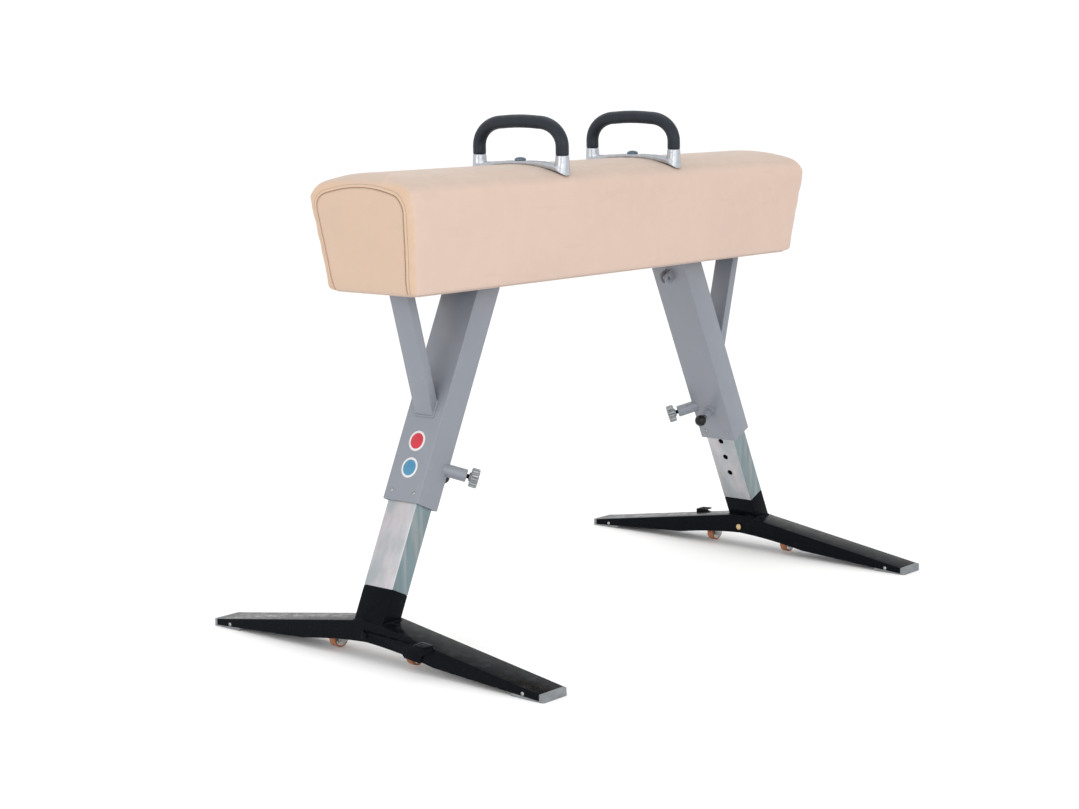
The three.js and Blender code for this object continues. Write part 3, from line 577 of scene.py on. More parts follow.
def joined(name, pieces):
    """Several pieces as one object, with their places applied."""
    work = bmesh.new()
    materials = []
    for piece in pieces:
        bpy.context.view_layer.update()
        copy = piece.data.copy()
        copy.transform(piece.matrix_world)
        offset = []
        for material in piece.data.materials:
            if material not in materials:
                materials.append(material)
            offset.append(materials.index(material))
        indices = [offset[p.material_index] if offset else 0 for p in copy.polygons]
        copy.polygons.foreach_set("material_index", indices)
        work.from_mesh(copy)
        bpy.data.meshes.remove(copy)
    mesh = bpy.data.meshes.new(name)
    work.to_mesh(mesh)
    work.free()
    for piece in list(pieces):
        remove(piece)
    result = new_object(name, mesh)
    for material in materials:
        mesh.materials.append(material)
    return result


def finish_piece(piece, body, slot, *nodes):
    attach(piece, body)
    if nodes:
        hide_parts(*nodes)
    return piece


def refined(node, material, width, slot, segments=2, shortest=0.0):
    """A CAD node's own shape with its sharp edges eased."""
    source = NODES[node]
    mesh = source.data.copy()
    mesh.name = node + "_eased"
    piece = new_object(node + "_eased", mesh, material)
    bevel_edges(piece, width, segments, shortest=shortest)
    return finish_piece(piece, source["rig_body"], slot, node)


def end_turn(side):
    return Matrix.Rotation(0.0 if side > 0 else math.pi, 4, "Z")


def leg_place(side):
    lean = Matrix.Rotation(-LEG_TILT, 4, "Y")
    return end_turn(side) @ Matrix.Translation((LEG_TOP_X, 0, BODY_BOTTOM)) @ lean


def at_end(piece, matrix):
    piece.matrix_world = matrix @ piece.matrix_world
    bpy.context.view_layer.update()
    return piece


def arc(center, radius, start, end, steps):
    points = []
    for i in range(steps + 1):
        turn = start + (end - start) * i / steps
        points.append((center[0] + radius * math.cos(turn), center[1] + radius * math.sin(turn)))
    return points


# ---- horse body ----
def top_outline(out, last_lean, crown_steps=14, shoulder_steps=10):
    """Half of the top's outline as (y, z) above the underside, offset outwards."""
    points = []
    for i in range(crown_steps + 1):
        lean = CROWN_LEAN * i / crown_steps
        reach = CROWN_RADIUS + out
        points.append((reach * math.sin(lean), BODY_HEIGHT - CROWN_RADIUS + reach * math.cos(lean)))
    for i in range(1, shoulder_steps + 1):
        lean = CROWN_LEAN + (last_lean - CROWN_LEAN) * i / shoulder_steps
        reach = SHOULDER_RADIUS + out
        points.append((SHOULDER_Y + reach * math.sin(lean), SHOULDER_Z + reach * math.cos(lean)))
    return points


def mirrored(half):
    return [(-y, z) for y, z in reversed(half[1:])] + list(half)


def rounded_rectangle(half_x, half_y, radius, steps=8):
    points = []
    quarter = math.pi / 2
    for i, (sx, sy) in enumerate([(1, -1), (1, 1), (-1, 1), (-1, -1)]):
        center = (sx * (half_x - radius), sy * (half_y - radius))
        points += arc(center, radius, (i - 1) * quarter, i * quarter, steps)
    return points


def corner_cutter(inset):
    """A block that leans like the ends and sides, with its four upright corners rounded."""
    grow = 0.0005 - inset
    low = rounded_rectangle(HALF_LENGTH_LOW + grow, HALF_WIDTH_LOW + grow, CORNER_RADIUS)
    high = rounded_rectangle(HALF_LENGTH_HIGH + grow, HALF_WIDTH_HIGH + grow, CORNER_RADIUS)
    points = []
    for outline, z in ((low, -0.05), (low, 0.0), (high, LEAN_TOP), (high, 1.0)):
        points += [(x, y, z) for x, y in outline]
    return shaped("corner_cutter", points, ring_faces(4, len(low)))


def horse_solid(inset):
    half = top_outline(-inset, math.pi / 2 + SIDE_LEAN)
    half.append((HALF_WIDTH_LOW - inset, 0))
    piece = extruded("horse_body", mirrored(half), -1, 1, axes=(1, 2, 0))
    nose_z = BODY_HEIGHT - NOSE_RADIUS
    lean = math.atan2(HALF_LENGTH_HIGH - HALF_LENGTH_LOW, nose_z)
    nose_x = HALF_LENGTH_HIGH - NOSE_RADIUS
    low_x = HALF_LENGTH_LOW - inset
    side = [(-low_x, -0.01), (low_x, -0.01)]
    side += arc((nose_x, nose_z), NOSE_RADIUS - inset, -lean, math.pi / 2, 12)
    side += arc((-nose_x, nose_z), NOSE_RADIUS - inset, math.pi / 2, math.pi + lean, 12)
    boolean(piece, extruded("side_view", side, -1, 1, axes=(0, 2, 1)), "INTERSECT")
    boolean(piece, corner_cutter(inset), "INTERSECT")
    piece.data.transform(Matrix.Translation((0, 0, BODY_BOTTOM)))
    return piece


def remesh(piece, voxel):
    change = piece.modifiers.new("remesh", "REMESH")
    change.mode = "VOXEL"
    change.voxel_size = voxel
    change.use_smooth_shade = True
    apply_modifiers(piece)


def positions(mesh):
    flat = np.empty(len(mesh.vertices) * 3)
    mesh.vertices.foreach_get("co", flat)
    return flat.reshape(-1, 3)


def swell(piece):
    """Padding pushes the taut leather out a little; the hem at the underside holds it."""
    before = positions(piece.data)
    held = piece.vertex_groups.new(name="held")
    low = [int(i) for i in np.nonzero(before[:, 2] < BODY_BOTTOM + PINNED_HEIGHT)[0]]
    held.add(low, 1.0, "REPLACE")
    cloth = piece.modifiers.new("cloth", "CLOTH")
    settings = cloth.settings
    settings.quality = 4
    settings.mass = 0.6
    settings.tension_stiffness = 40
    settings.compression_stiffness = 40
    settings.bending_stiffness = 20
    settings.vertex_group_mass = "held"
    settings.use_pressure = True
    settings.uniform_pressure_force = 4
    settings.effector_weights.gravity = 0
    cloth.collision_settings.use_collision = False
    cloth.point_cache.frame_start = 1
    cloth.point_cache.frame_end = SWELL_FRAMES
    scene = bpy.context.scene
    for number in range(1, SWELL_FRAMES + 1):
        scene.frame_set(number)
    apply_modifiers(piece)
    scene.frame_set(1)
    moved = positions(piece.data) - before
    length = np.linalg.norm(moved, axis=1, keepdims=True)
    shorten = np.minimum(1.0, SWELL_CAP / np.maximum(length, 1e-9))
    piece.data.vertices.foreach_set("co", (before + moved * shorten).ravel())
    piece.vertex_groups.clear()


def soften(piece, rounds):
    work = bmesh.new()
    work.from_mesh(piece.data)
    for _ in range(rounds):
        bmesh.ops.smooth_vert(
            work, verts=work.verts, factor=0.5, use_axis_x=True, use_axis_y=True, use_axis_z=True
        )
    work.to_mesh(piece.data)
    work.free()


def slot_cutter(side):
    """The slot in the leather along which a pommel's rod slides."""
    low, high = sorted((side * (POMMEL_X - POMMEL_TRAVEL), side * POMMEL_X))
    outline = arc((high, 0), SLOT_HALF, -math.pi / 2, math.pi / 2, 10)
    outline += arc((low, 0), SLOT_HALF, math.pi / 2, 1.5 * math.pi, 10)
    bottom, top = SLOT_DEPTH
    return extruded("slot", outline, BODY_BOTTOM + bottom, BODY_BOTTOM + top)


def open_underside(mesh):
    """The cover stops at its hem, and the plywood shows inside it."""
    work = bmesh.new()
    work.from_mesh(mesh)
    doomed = []
    for face in work.faces:
        center = face.calc_center_median()
        low = center.z < BODY_BOTTOM + OPENING_HEIGHT
        if low and abs(center.x) < OPENING[0] and abs(center.y) < OPENING[1]:
            doomed.append(face)
    bmesh.ops.delete(work, geom=doomed, context="FACES")
    work.to_mesh(mesh)
    work.free()


def panel_outline():
    """The end panel's seam as (y, z) above the underside, from one lower corner to the other."""
    steps = 30
    widest = PANEL_CORNER[0] + PANEL_CORNER_RADIUS
    half = []
    for i in range(steps):
        share = i / steps
        half.append((PANEL_FOOT_Y + (widest - PANEL_FOOT_Y) * share, PANEL_CORNER[1] * share))
    half += arc(PANEL_CORNER, PANEL_CORNER_RADIUS, 0, PANEL_CORNER_TURN, 12)
    edge_y, edge_z = half[-1]
    for i in range(1, steps + 1):
        y = edge_y * (1 - i / steps)
        half.append((y, PANEL_CROWN_Z - (PANEL_CROWN_Z - edge_z) * (y / edge_y) ** 2))
    return half + [(-y, z) for y, z in reversed(half[:-1])]


def evenly(points, step):
    points = np.array(points, float)
    lengths = np.linalg.norm(np.diff(points, axis=0), axis=1)
    along = np.concatenate([[0], np.cumsum(lengths)])
    count = max(2, int(round(along[-1] / step)) + 1)
    wanted = np.linspace(0, along[-1], count)
    columns = [np.interp(wanted, along, points[:, k]) for k in range(points.shape[1])]
    return np.stack(columns, axis=1)


def seam_on_surface(tree, side, step):
    """Seam points on the leather with their normals."""
    found = []
    for y, z in evenly(panel_outline(), step):
        start = Vector((side * 1.5, y, BODY_BOTTOM + max(z, 0.003)))
        place, normal, _, _ = tree.ray_cast(start, Vector((-side, 0, 0)))
        if place is not None:
            found.append((place, normal))
    return found


def seam_band(name, line, section, material):
    """A strip of the given (across, out) cross-section, laid along a line on the leather."""
    points = []
    places = [place for place, _ in line]
    for i, (place, normal) in enumerate(line):
        across = normal.cross(heading(places, i)).normalized()
        for a, o in section:
            points.append(place + across * a + normal * o)
    return shaped(name, points, ring_faces(len(line), len(section)), material, 60)


def stitches(name, line, offset, length, material):
    """Separate thread stitches, each sunk at its ends."""
    shares = (-0.5, -0.3, 0.0, 0.3, 0.5)
    radii = (0.0004, 0.0007, 0.0008, 0.0007, 0.0004)
    sides = 6
    points = []
    faces = []
    for i in range(0, len(line) - 1, 2):
        place, normal = line[i]
        along = (line[i + 1][0] - place).normalized()
        across = normal.cross(along).normalized()
        middle = place + across * offset + normal * 0.0004
        path = []
        for share in shares:
            rise = 0.0005 * (1 - (2 * share) ** 2)
            path.append(middle + along * length * share + normal * rise)
        base = len(points)
        for k, here in enumerate(path):
            up = heading(path, k).cross(across)
            for s in range(sides):
                turn = 2 * math.pi * s / sides
                points.append(here + (across * math.cos(turn) + up * math.sin(turn)) * radii[k])
        for face in ring_faces(len(shares), sides):
            faces.append(tuple(base + v for v in face))
    return shaped(name, points, faces, material, 80)


def flat_line(name, line, middle, half, rise, material):
    """A narrow flat strip beside the seam, coloured as painted shade."""
    sunk = -0.001
    left, right = middle - half, middle + half
    section = [(left, sunk), (right, sunk), (right, rise), (left, rise)]
    return seam_band(name, line, section, material)


def end_seam(tree, side, name, materials):
    """The welt round the end panel, dark flat strips beside it painted as the shade of a groove and a
    crease, and a row of stitches.
    """
    line = seam_on_surface(tree, side, SEAM_STEP)
    band = [(-SEAM_HALF, -0.0010)]
    for i in range(9):
        turn = math.pi * (1 - i / 8)
        band.append((SEAM_HALF * math.cos(turn), 0.0001 + SEAM_RISE * math.sin(turn)))
    band.append((SEAM_HALF, -0.0010))
    edge = SEAM_HALF + 0.0007
    pieces = [
        seam_band("band", line, band[::-1], materials["welt"]),
        # painted shade: flat dark strips where the groove and crease beside the welt lie in shade
        flat_line("groove", line, -edge, 0.0008, 0.0003, materials["groove"]),
        flat_line("painted_crease_shade", line, edge, 0.0005, 0.0003, materials["painted_crease_shade"]),
        stitches("inner", line, -0.0060, 0.0046, materials["thread"]),
    ]
    seam = joined(f"{name}_end_seam", pieces)
    return finish_piece(seam, "horse", "leather")


def hem_and_nails(materials):
    """The cover's turned-in edge under the horse, and the nails that hold it to the board."""
    rows = []
    count = 0
    for half_x, half_y, radius, z in (
        (HALF_LENGTH_LOW - 0.013, HALF_WIDTH_LOW - 0.013, 0.015, 0.0006),
        (HALF_LENGTH_LOW - 0.015, HALF_WIDTH_LOW - 0.015, 0.013, -0.0016),
        (OPENING[0] - 0.002, OPENING[1] - 0.002, 0.010, -0.0018),
        (OPENING[0] - 0.004, OPENING[1] - 0.004, 0.009, 0.0004),
    ):
        outline = evenly(rounded_rectangle(half_x, half_y, radius) + [(half_x - radius, -half_y)], 0.012)
        if not count:
            count = len(outline)
        total = np.linspace(0, len(outline) - 1, count)
        places = [np.interp(total, np.arange(len(outline)), outline[:, k]) for k in range(2)]
        rows.append([(x, y, BODY_BOTTOM + z) for x, y in zip(*places)][:-1])
    points = [p for row in rows for p in row]
    faces = ring_faces(len(rows), len(rows[0]), closed_ends=False, wrap=True)
    hem = shaped("cover_hem", points, faces, materials["leather"], 50)
    finish_piece(hem, "horse", "leather")

    dome = [(0.0, -0.0014), (0.0022, -0.0011), (0.0037, -0.0005), (0.0040, 0.0), (0.0, 0.0)]
    nails = []
    line = rounded_rectangle(OPENING[0] + NAIL_OUTSET, OPENING[1] + NAIL_OUTSET, 0.012)
    for x, y in evenly(line, NAIL_STEP):
        nail = turned("nail", dome, materials["brass"], 10)
        nail.matrix_world = Matrix.Translation((x, y, BODY_BOTTOM - 0.0016))
        nails.append(nail)
    finish_piece(joined("hem_nails", nails), "horse", "steel")


def paint_panels(mesh):
    """The end panels are cut from their own piece of hide."""
    half = [(y, z) for y, z in panel_outline() if y >= 0]
    widths = [y for y, _ in half]
    heights = [z for _, z in half]
    for face in mesh.polygons:
        height = face.center.z - BODY_BOTTOM
        on_end = abs(face.center.x) >= HALF_LENGTH_LOW - 0.03 and abs(face.normal.x) >= 0.6
        if on_end and height <= heights[-1] and abs(face.center.y) < np.interp(height, heights, widths):
            face.material_index = 1


def add_horse_body(materials):
    body = horse_solid(START_INSET)
    remesh(body, VOXEL)
    soften(body, 2)
    swell(body)
    soften(body, 7)
    smooth = body.modifiers.new("smooth", "SUBSURF")
    smooth.levels = 1
    apply_modifiers(body)
    for side in ENDS.values():
        boolean(body, slot_cutter(side), "DIFFERENCE")
    body.name = "leather_body"
    open_underside(body.data)
    shade_smooth(body.data, 60)
    body.data.materials.clear()
    body.data.materials.append(materials["leather"])
    body.data.materials.append(materials["panel"])
    paint_panels(body.data)
    covered = ("leather_cover", "left_end_panel", "right_end_panel", "foam_padding")
    finish_piece(body, "horse", "leather", *covered)
    graph = bpy.context.evaluated_depsgraph_get()
    tree = BVHTree.FromObject(body, graph)
    for name, side in ENDS.items():
        end_seam(tree, side, name, materials)
    hem_and_nails(materials)
    NODES["bottom_board"].data.materials[0] = materials["plywood"]
    NODES["wooden_core"].data.materials[0] = materials["plywood"]


# ---- pommels ----
def skin_point(lean, out):
    """A point over the horse's top at a lean from upright, as (y, z) from the floor."""
    sign = 1 if lean >= 0 else -1
    lean = abs(lean)
    if lean <= CROWN_LEAN:
        reach = CROWN_RADIUS + out
        y = reach * math.sin(lean)
        z = BODY_HEIGHT - CROWN_RADIUS + reach * math.cos(lean)
    else:
        reach = SHOULDER_RADIUS + out
        y = SHOULDER_Y + reach * math.sin(lean)
        z = SHOULDER_Z + reach * math.cos(lean)
    return sign * y, BODY_BOTTOM + z


def saddle_leans():
    crown = [CROWN_LEAN * i / 22 for i in range(22)]
    shoulder = [CROWN_LEAN + (SADDLE_LEAN - CROWN_LEAN) * i / 14 for i in range(15)]
    half = crown + shoulder
    return [-lean for lean in reversed(half[1:])] + half


def saddle_strap():
    """The strap: hugs the leather, is dished between two rims and rounds off at both toes."""
    columns = 17
    leans = saddle_leans()
    total = len(leans)
    points = []
    for layer in (0, 1):
        for lean in leans:
            y = abs(skin_point(lean, 0)[0])
            toe = min(1.0, max(0.0, (y - TOE_START) / TOE_LENGTH))
            width = STRAP_HALF * math.sqrt(max(0.02, 1 - toe * toe))
            rim = 0.0085 + 0.0040 * min(1.0, y / 0.10) - 0.003 * toe
            for c in range(columns):
                u = -1 + 2 * c / (columns - 1)
                if layer == 0:
                    out = SKIN_GAP
                else:
                    edge = min(1.0, max(0.0, (abs(u) - 0.70) / 0.16))
                    dish = 0.0045 * (1 - edge * edge * (3 - 2 * edge))
                    out = rim - dish * (1 - toe)
                py, pz = skin_point(lean, out)
                points.append((u * width, py, pz))
    faces = []
    base = total * columns
    for r in range(total - 1):
        for c in range(columns - 1):
            a = r * columns + c
            b = a + columns
            faces.append((a, a + 1, b + 1, b))
            faces.append((base + a, base + b, base + b + 1, base + a + 1))
    for r in range(total - 1):
        for c in (0, columns - 1):
            a = r * columns + c
            b = a + columns
            faces.append((a, b, base + b, base + a))
    for r in (0, total - 1):
        for c in range(columns - 1):
            a = r * columns + c
            faces.append((a, a + 1, base + a + 1, base + a))
    return shaped("strap", points, faces)


def post(side):
    """An upright of the saddle, flared where it grows out of the strap."""
    y = side * GRIP_HALF_SPAN
    rings = [
        (1.120, 0.0225, 0.0262),
        (1.150, 0.0222, 0.0256),
        (1.158, 0.0212, 0.0234),
        (1.164, 0.0200, 0.0212),
        (1.171, 0.0190, 0.0196),
        (1.180, 0.0181, 0.0182),
        (1.190, 0.0177, 0.0177),
        (GRIP_FOOT - SKIN_GAP, POST_RADIUS, POST_RADIUS),
    ]
    sides = 36
    points = []
    for z, wide, deep in rings:
        for s in range(sides):
            turn = 2 * math.pi * s / sides
            across = deep * math.sin(turn)
            if across * side > 0:
                across *= POST_RADIUS / deep
            points.append((wide * math.cos(turn), y + across, z))
    return shaped("post", points, ring_faces(len(rings), sides))


def rib(side):
    """A wedge rib from the screw's boss up to the post."""
    points = []
    steps = 10
    for i in range(steps + 1):
        share = i / steps
        lean = side * CROWN_LEAN * (0.17 + 0.86 * share)
        wide = 0.0050 + 0.0045 * share ** 2
        low = skin_point(lean, 0.002)
        high = skin_point(lean, 0.0075 + 0.0135 * share ** 2)
        points += [(-wide, *low), (wide, *low), (0.7 * wide, *high), (-0.7 * wide, *high)]
    return shaped("rib", points, ring_faces(steps + 1, 4))


def add_saddles(materials):
    saddle = saddle_strap()
    skin = mirrored(top_outline(SKIN_GAP, math.pi / 2, 40, 24))
    under = [(y, BODY_BOTTOM + z) for y, z in skin]
    under = [(-0.175, 1.0)] + under + [(0.175, 1.0)]
    boss_foot = 1.165
    boss = [(0, boss_foot), (0.0205, boss_foot), (0.0190, SADDLE_TOP), (0, SADDLE_TOP)]
    for tool in (post(-1), post(1), rib(-1), rib(1), turned("boss", boss, None)):
        boolean(saddle, tool, "UNION")
    boolean(saddle, extruded("under", under, -0.1, 0.1, axes=(1, 2, 0)), "DIFFERENCE")
    remesh(saddle, 0.0014)
    soften(saddle, 4)
    fewer = saddle.modifiers.new("fewer", "DECIMATE")
    fewer.ratio = 0.45
    apply_modifiers(saddle)
    shade_smooth(saddle.data, 60)
    for name, side in ENDS.items():
        piece = new_object(f"{name}_saddle_casting", saddle.data.copy(), materials["aluminium"])
        piece.matrix_world = Matrix.Translation((side * POMMEL_X, 0, 0))
        finish_piece(piece, f"{name}_pommel", "aluminium", f"{name}_pommel_saddle")
    remove(saddle)


def cubic(a, b, c, d, steps):
    points = []
    for i in range(1, steps + 1):
        t = i / steps
        s = 1 - t
        points.append(a * s ** 3 + b * 3 * s * s * t + c * 3 * s * t * t + d * t ** 3)
    return points


def grip_path():
    """Axis of the bow, from its foot at -Y over to its foot at +Y."""
    across, down = GRIP_BEND
    y, z = GRIP_HALF_SPAN, GRIP_TOP
    hold = 0.56
    low = Vector((0, -y, z - down))
    high = Vector((0, across - y, z - GRIP_CROWN / 2))
    path = [Vector((0, -y, GRIP_FOOT + (z - down - GRIP_FOOT) * i / 6)) for i in range(7)]
    path += cubic(low, low + Vector((0, 0, hold * down)), high - Vector((0, hold * across, 0)), high, 16)
    for i in range(1, 9):
        here = high.y * (1 - i / 8)
        path.append(Vector((0, here, z + GRIP_CROWN * (0.5 - (here / high.y) ** 2))))
    return path + [Vector((0, -p.y, p.z)) for p in reversed(path[:-1])]


def add_grips(materials):
    path = grip_path()
    first, last = path[0], path[-1]
    rim = Vector((0, 0, 0.0014))
    path = [first, first + rim] + path[1:-1] + [last + rim, last]
    radii = [GRIP_RADIUS] * len(path)
    radii[0] = radii[-1] = GRIP_RADIUS - 0.0012
    for name, side in ENDS.items():
        grip = swept(f"{name}_grip_sleeve", path, radii, materials["grip"], 32, (1, 0, 0))
        grip.matrix_world = Matrix.Translation((side * POMMEL_X, 0, 0))
        finish_piece(grip, f"{name}_pommel", "grip_plastic", f"{name}_pommel_grip")


def add_screw_caps(materials):
    shank = 0.007
    shank_end = 1.100
    dome = [(0.0, shank_end), (shank, shank_end), (shank, CAP_SEAT), (CAP_RADIUS - 0.0008, CAP_SEAT)]
    dome += [(CAP_RADIUS, CAP_SEAT + 0.0008), (CAP_RADIUS, CAP_RIM)]
    for i in range(1, 11):
        turn = math.pi / 2 * i / 10
        dome.append((CAP_RADIUS * math.cos(turn), CAP_RIM + CAP_RISE * math.sin(turn)))
    for name, side in ENDS.items():
        cap = turned(f"{name}_screw_cap", dome, materials["cap"], 48)
        cap.matrix_world = Matrix.Translation((side * POMMEL_X, 0, 0))
        finish_piece(cap, f"{name}_pommel_clamp", "steel", f"{name}_pommel_screw")
        for node in (f"{name}_pommel_rod", f"{name}_pommel_nut"):
            paint_node(node, materials["steel"])


# ---- legs ----
def paint_node(node, material):
    data = NODES[node].data
    data.materials.clear()
    data.materials.append(material)


def hex_bolt(name, radius, height, material):
    corners = arc((0, 0), radius, 0, 2 * math.pi, 6)[:-1]
    bolt = extruded(name, corners, 0, height, material)
    bevel_edges(bolt, 0.12 * radius, 2)
    return bolt


def button_screw(name, radius, height, material):
    """A low domed screw with a round recess."""
    profile = [(0, height * 0.45), (radius * 0.42, height * 0.45), (radius * 0.46, height)]
    profile += [(radius * 0.72, height * 0.92), (radius * 0.93, height * 0.55), (radius, 0)]
    return turned(name, profile, material, 18, 50)


def clamp_axis():
    corner = Vector((-OUTER_DEPTH / 2, OUTER_WIDTH / 2, -CLAMP_AT))
    return Matrix.Translation(corner) @ frame_along((-1, 1, 0))


def fluted_knob(name, material):
    """A cast clamp knob with scallops, rounded rims and a hub underneath."""
    count = KNOB_FLUTES * 8
    bottom, top, dish = 0.0550, 0.0750, 0.0735
    levels = [(bottom, 0.93), (0.0562, 0.985), (0.0585, 1.0), (0.0715, 1.0), (0.0738, 0.985), (top, 0.93)]
    points = []
    for z, share in levels:
        for i in range(count):
            turn = 2 * math.pi * i / count
            wave = max(0.0, math.sin(KNOB_FLUTES * turn))
            radius = (KNOB_RADIUS - FLUTE_DEPTH * wave) * share
            points.append((radius * math.cos(turn), radius * math.sin(turn), z))
    points += circle(0.0150, top, count) + circle(0.0140, 0.0738, count)
    rings = len(levels) + 2
    faces = ring_faces(rings, count, closed_ends=False)
    last = (rings - 1) * count
    middle = len(points)
    points += [(0, 0, dish), (0, 0, bottom)]
    faces += [(last + i, last + (i + 1) % count, middle) for i in range(count)]
    faces += [((i + 1) % count, i, middle + 1) for i in range(count)]
    grip = shaped(name, points, faces, material, 45)
    hub = [(0, 0.0512), (0.0098, 0.0512), (0.0110, 0.0524), (0.0110, 0.0560), (0, 0.0560)]
    return joined(name, [grip, turned("hub", hub, material)])


def threaded(name, radius, start, end, pitch, material):
    """A rod with a ring for every turn of its thread."""
    root = radius * 0.88
    profile = [(0, start)]
    z = start
    while z < end - pitch:
        profile += [(radius, z + pitch * 0.15), (radius, z + pitch * 0.35)]
        profile += [(root, z + pitch * 0.6), (root, z + pitch * 0.8)]
        z += pitch
    profile += [(root, end), (0, end)]
    return turned(name, profile, material, 24, 60)


def add_clamp(name, side, materials):
    place = leg_place(side) @ clamp_axis()
    boss_profile = [(0.0066, 0.0444), (0.0072, 0.0450), (0.0146, 0.0450), (0.0160, 0.0436)]
    boss_profile += [(0.0160, -0.016), (0.0066, -0.016), (0.0066, 0.0444)]
    boss = turned(f"{name}_boss_turned", boss_profile, materials["grey"], 40)
    boss.data.transform(clamp_axis())
    x, y = OUTER_DEPTH / 2 + SKIN_GAP, OUTER_WIDTH / 2 + SKIN_GAP
    boolean(boss, block("tube", (-x, -y, -1), (x, y, 0)), "DIFFERENCE")
    shade_smooth(boss.data, 40)
    finish_piece(at_end(boss, leg_place(side)), "horse", "aluminium", f"{name}_clamp_boss")
    stud = threaded(f"{name}_stud_threaded", 0.0060, -0.0124, 0.0700, 0.0018, materials["black"])
    body = f"{name}_leg_clamp"
    finish_piece(at_end(stud, place), body, "black_paint", f"{name}_clamp_stud")
    knob = fluted_knob(f"{name}_knob_fluted", materials["knob"])
    finish_piece(at_end(knob, place), body, "aluminium", f"{name}_clamp_knob")


def add_plunger(name, side, materials):
    face = Matrix.Translation((-OUTER_DEPTH / 2, 0, -INDEX_AT)) @ frame_along((-1, 0, 0))
    place = leg_place(side) @ face
    housing_profile = [(0.0055, 0.0010), (0.0130, 0.0010), (0.0130, 0.0180), (0.0118, 0.0190)]
    housing_profile += [(0.0118, 0.0280), (0.0102, 0.0300), (0.0058, 0.0300), (0.0055, 0.0010)]
    housing = turned("housing", housing_profile, materials["grey"], 36)
    weld = [(0.0125, 0.0003), (0.0160, 0.0003), (0.0155, 0.0018), (0.0140, 0.0032), (0.0128, 0.0036)]
    bead = turned("bead", weld, materials["grey"], 36, 60)
    shell = joined(f"{name}_plunger_sleeve", [housing, bead])
    finish_piece(at_end(shell, place), "horse", "grey_paint", f"{name}_plunger_housing")
    profile = [(0.0, 0.0365), (0.0085, 0.0365), (0.0092, 0.0372)]
    for i in range(1, 14):
        turn = math.radians(-52 + 142 * i / 14)
        profile.append((BALL_RADIUS * math.cos(turn), BALL_CENTER + BALL_RADIUS * math.sin(turn)))
    profile.append((0.0, BALL_CENTER + BALL_RADIUS))
    ball = turned(f"{name}_plunger_knob", profile, materials["black_plastic"], 40, 50)
    finish_piece(at_end(ball, place), f"{name}_plunger", "black_plastic", f"{name}_plunger_ball")
    paint_node(f"{name}_plunger_pin", materials["steel"])
    paint_node(f"{name}_plunger_spring", materials["steel"])


def weld_bead(name, corners, radius, material):
    """A slightly uneven bead along straight runs between corners."""
    line = evenly([tuple(c) for c in corners], radius * 0.8)
    radii = [radius * (1 + 0.14 * math.sin(2.1 * i) + 0.06 * math.sin(5.3 * i)) for i in range(len(line))]
    return swept(name, [Vector(p) for p in line], radii, material, 8)


def label_profile(radius, height):
    return [(0, height), (radius - 0.0004, height), (radius, height - 0.0002), (radius, 0)]


def add_leg_details(name, side, materials):
    """Guide screws, the weld round the brace's foot, and blank labels on the near leg."""
    place = leg_place(side)
    pieces = []
    for face in (-1, 1):
        for y in (-GUIDE_SCREW_Y, GUIDE_SCREW_Y):
            screw = button_screw("screw", 0.0048, 0.0022, materials["steel"])
            spot = Matrix.Translation((face * (OUTER_DEPTH / 2 + 0.0002), y, -BUSH_AT))
            pieces.append(at_end(screw, place @ spot @ frame_along((face, 0, 0))))
    finish_piece(joined(f"{name}_guide_screws", pieces), "horse", "steel")

    brace = NODES[f"{name}_brace"]
    local = np.array([place.inverted() @ v.co for v in brace.data.vertices])
    foot = local[np.abs(local[:, 0] - (OUTER_DEPTH / 2 + SKIN_GAP)) < 0.001]
    top, bottom, half = foot[:, 2].max(), foot[:, 2].min(), 0.030
    x = OUTER_DEPTH / 2 + 0.001
    loop = [(x, -half, top), (x, -half, bottom), (x, half, bottom), (x, half, top), (x, -half, top)]
    bead = weld_bead(f"{name}_brace_weld", loop, 0.0028, materials["grey"])
    finish_piece(at_end(bead, place), "horse", "grey_paint")
    if side < 0:
        for label, down in (("label_red", 0.427), ("label_blue", 0.495)):
            disc = joined(label, [
                turned("white", label_profile(LABEL_RADIUS, 0.0003), materials["label_white"], 48),
                turned("tint", label_profile(0.78 * LABEL_RADIUS, 0.0005), materials[label], 48),
            ])
            spot = Matrix.Translation((OUTER_DEPTH / 2 + 0.0001, 0, -down))
            at_end(disc, place @ spot @ frame_along((1, 0, 0)))
            disc.name = f"blank_{label}"
            finish_piece(disc, "horse", "grey_paint")


def add_legs(materials):
    for name, side in ENDS.items():
        refined(f"{name}_outer_tube", materials["grey"], 0.0022, "grey_paint", 3, 0.03)
        refined(f"{name}_brace", materials["grey"], 0.0020, "grey_paint", 3, 0.02)
        refined(f"{name}_mount_plate", materials["grey"], 0.0008, "grey_paint")
        refined(f"{name}_inner_tube", materials["zinc"], 0.0022, "zinc", 3, 0.05)
        refined(f"{name}_foot_socket", materials["black"], 0.0022, "black_paint", 3, 0.03)
        refined(f"{name}_lower_bush", materials["nylon"], 0.0006, "guide_plastic")
        paint_node(f"{name}_upper_bush", materials["nylon"])
        add_clamp(name, side, materials)
        add_plunger(name, side, materials)
        add_leg_details(name, side, materials)


# ---- feet ----
def beam_top(y):
    return FOOT_END_TOP + (FOOT_HALF - abs(y)) * FOOT_SLOPE


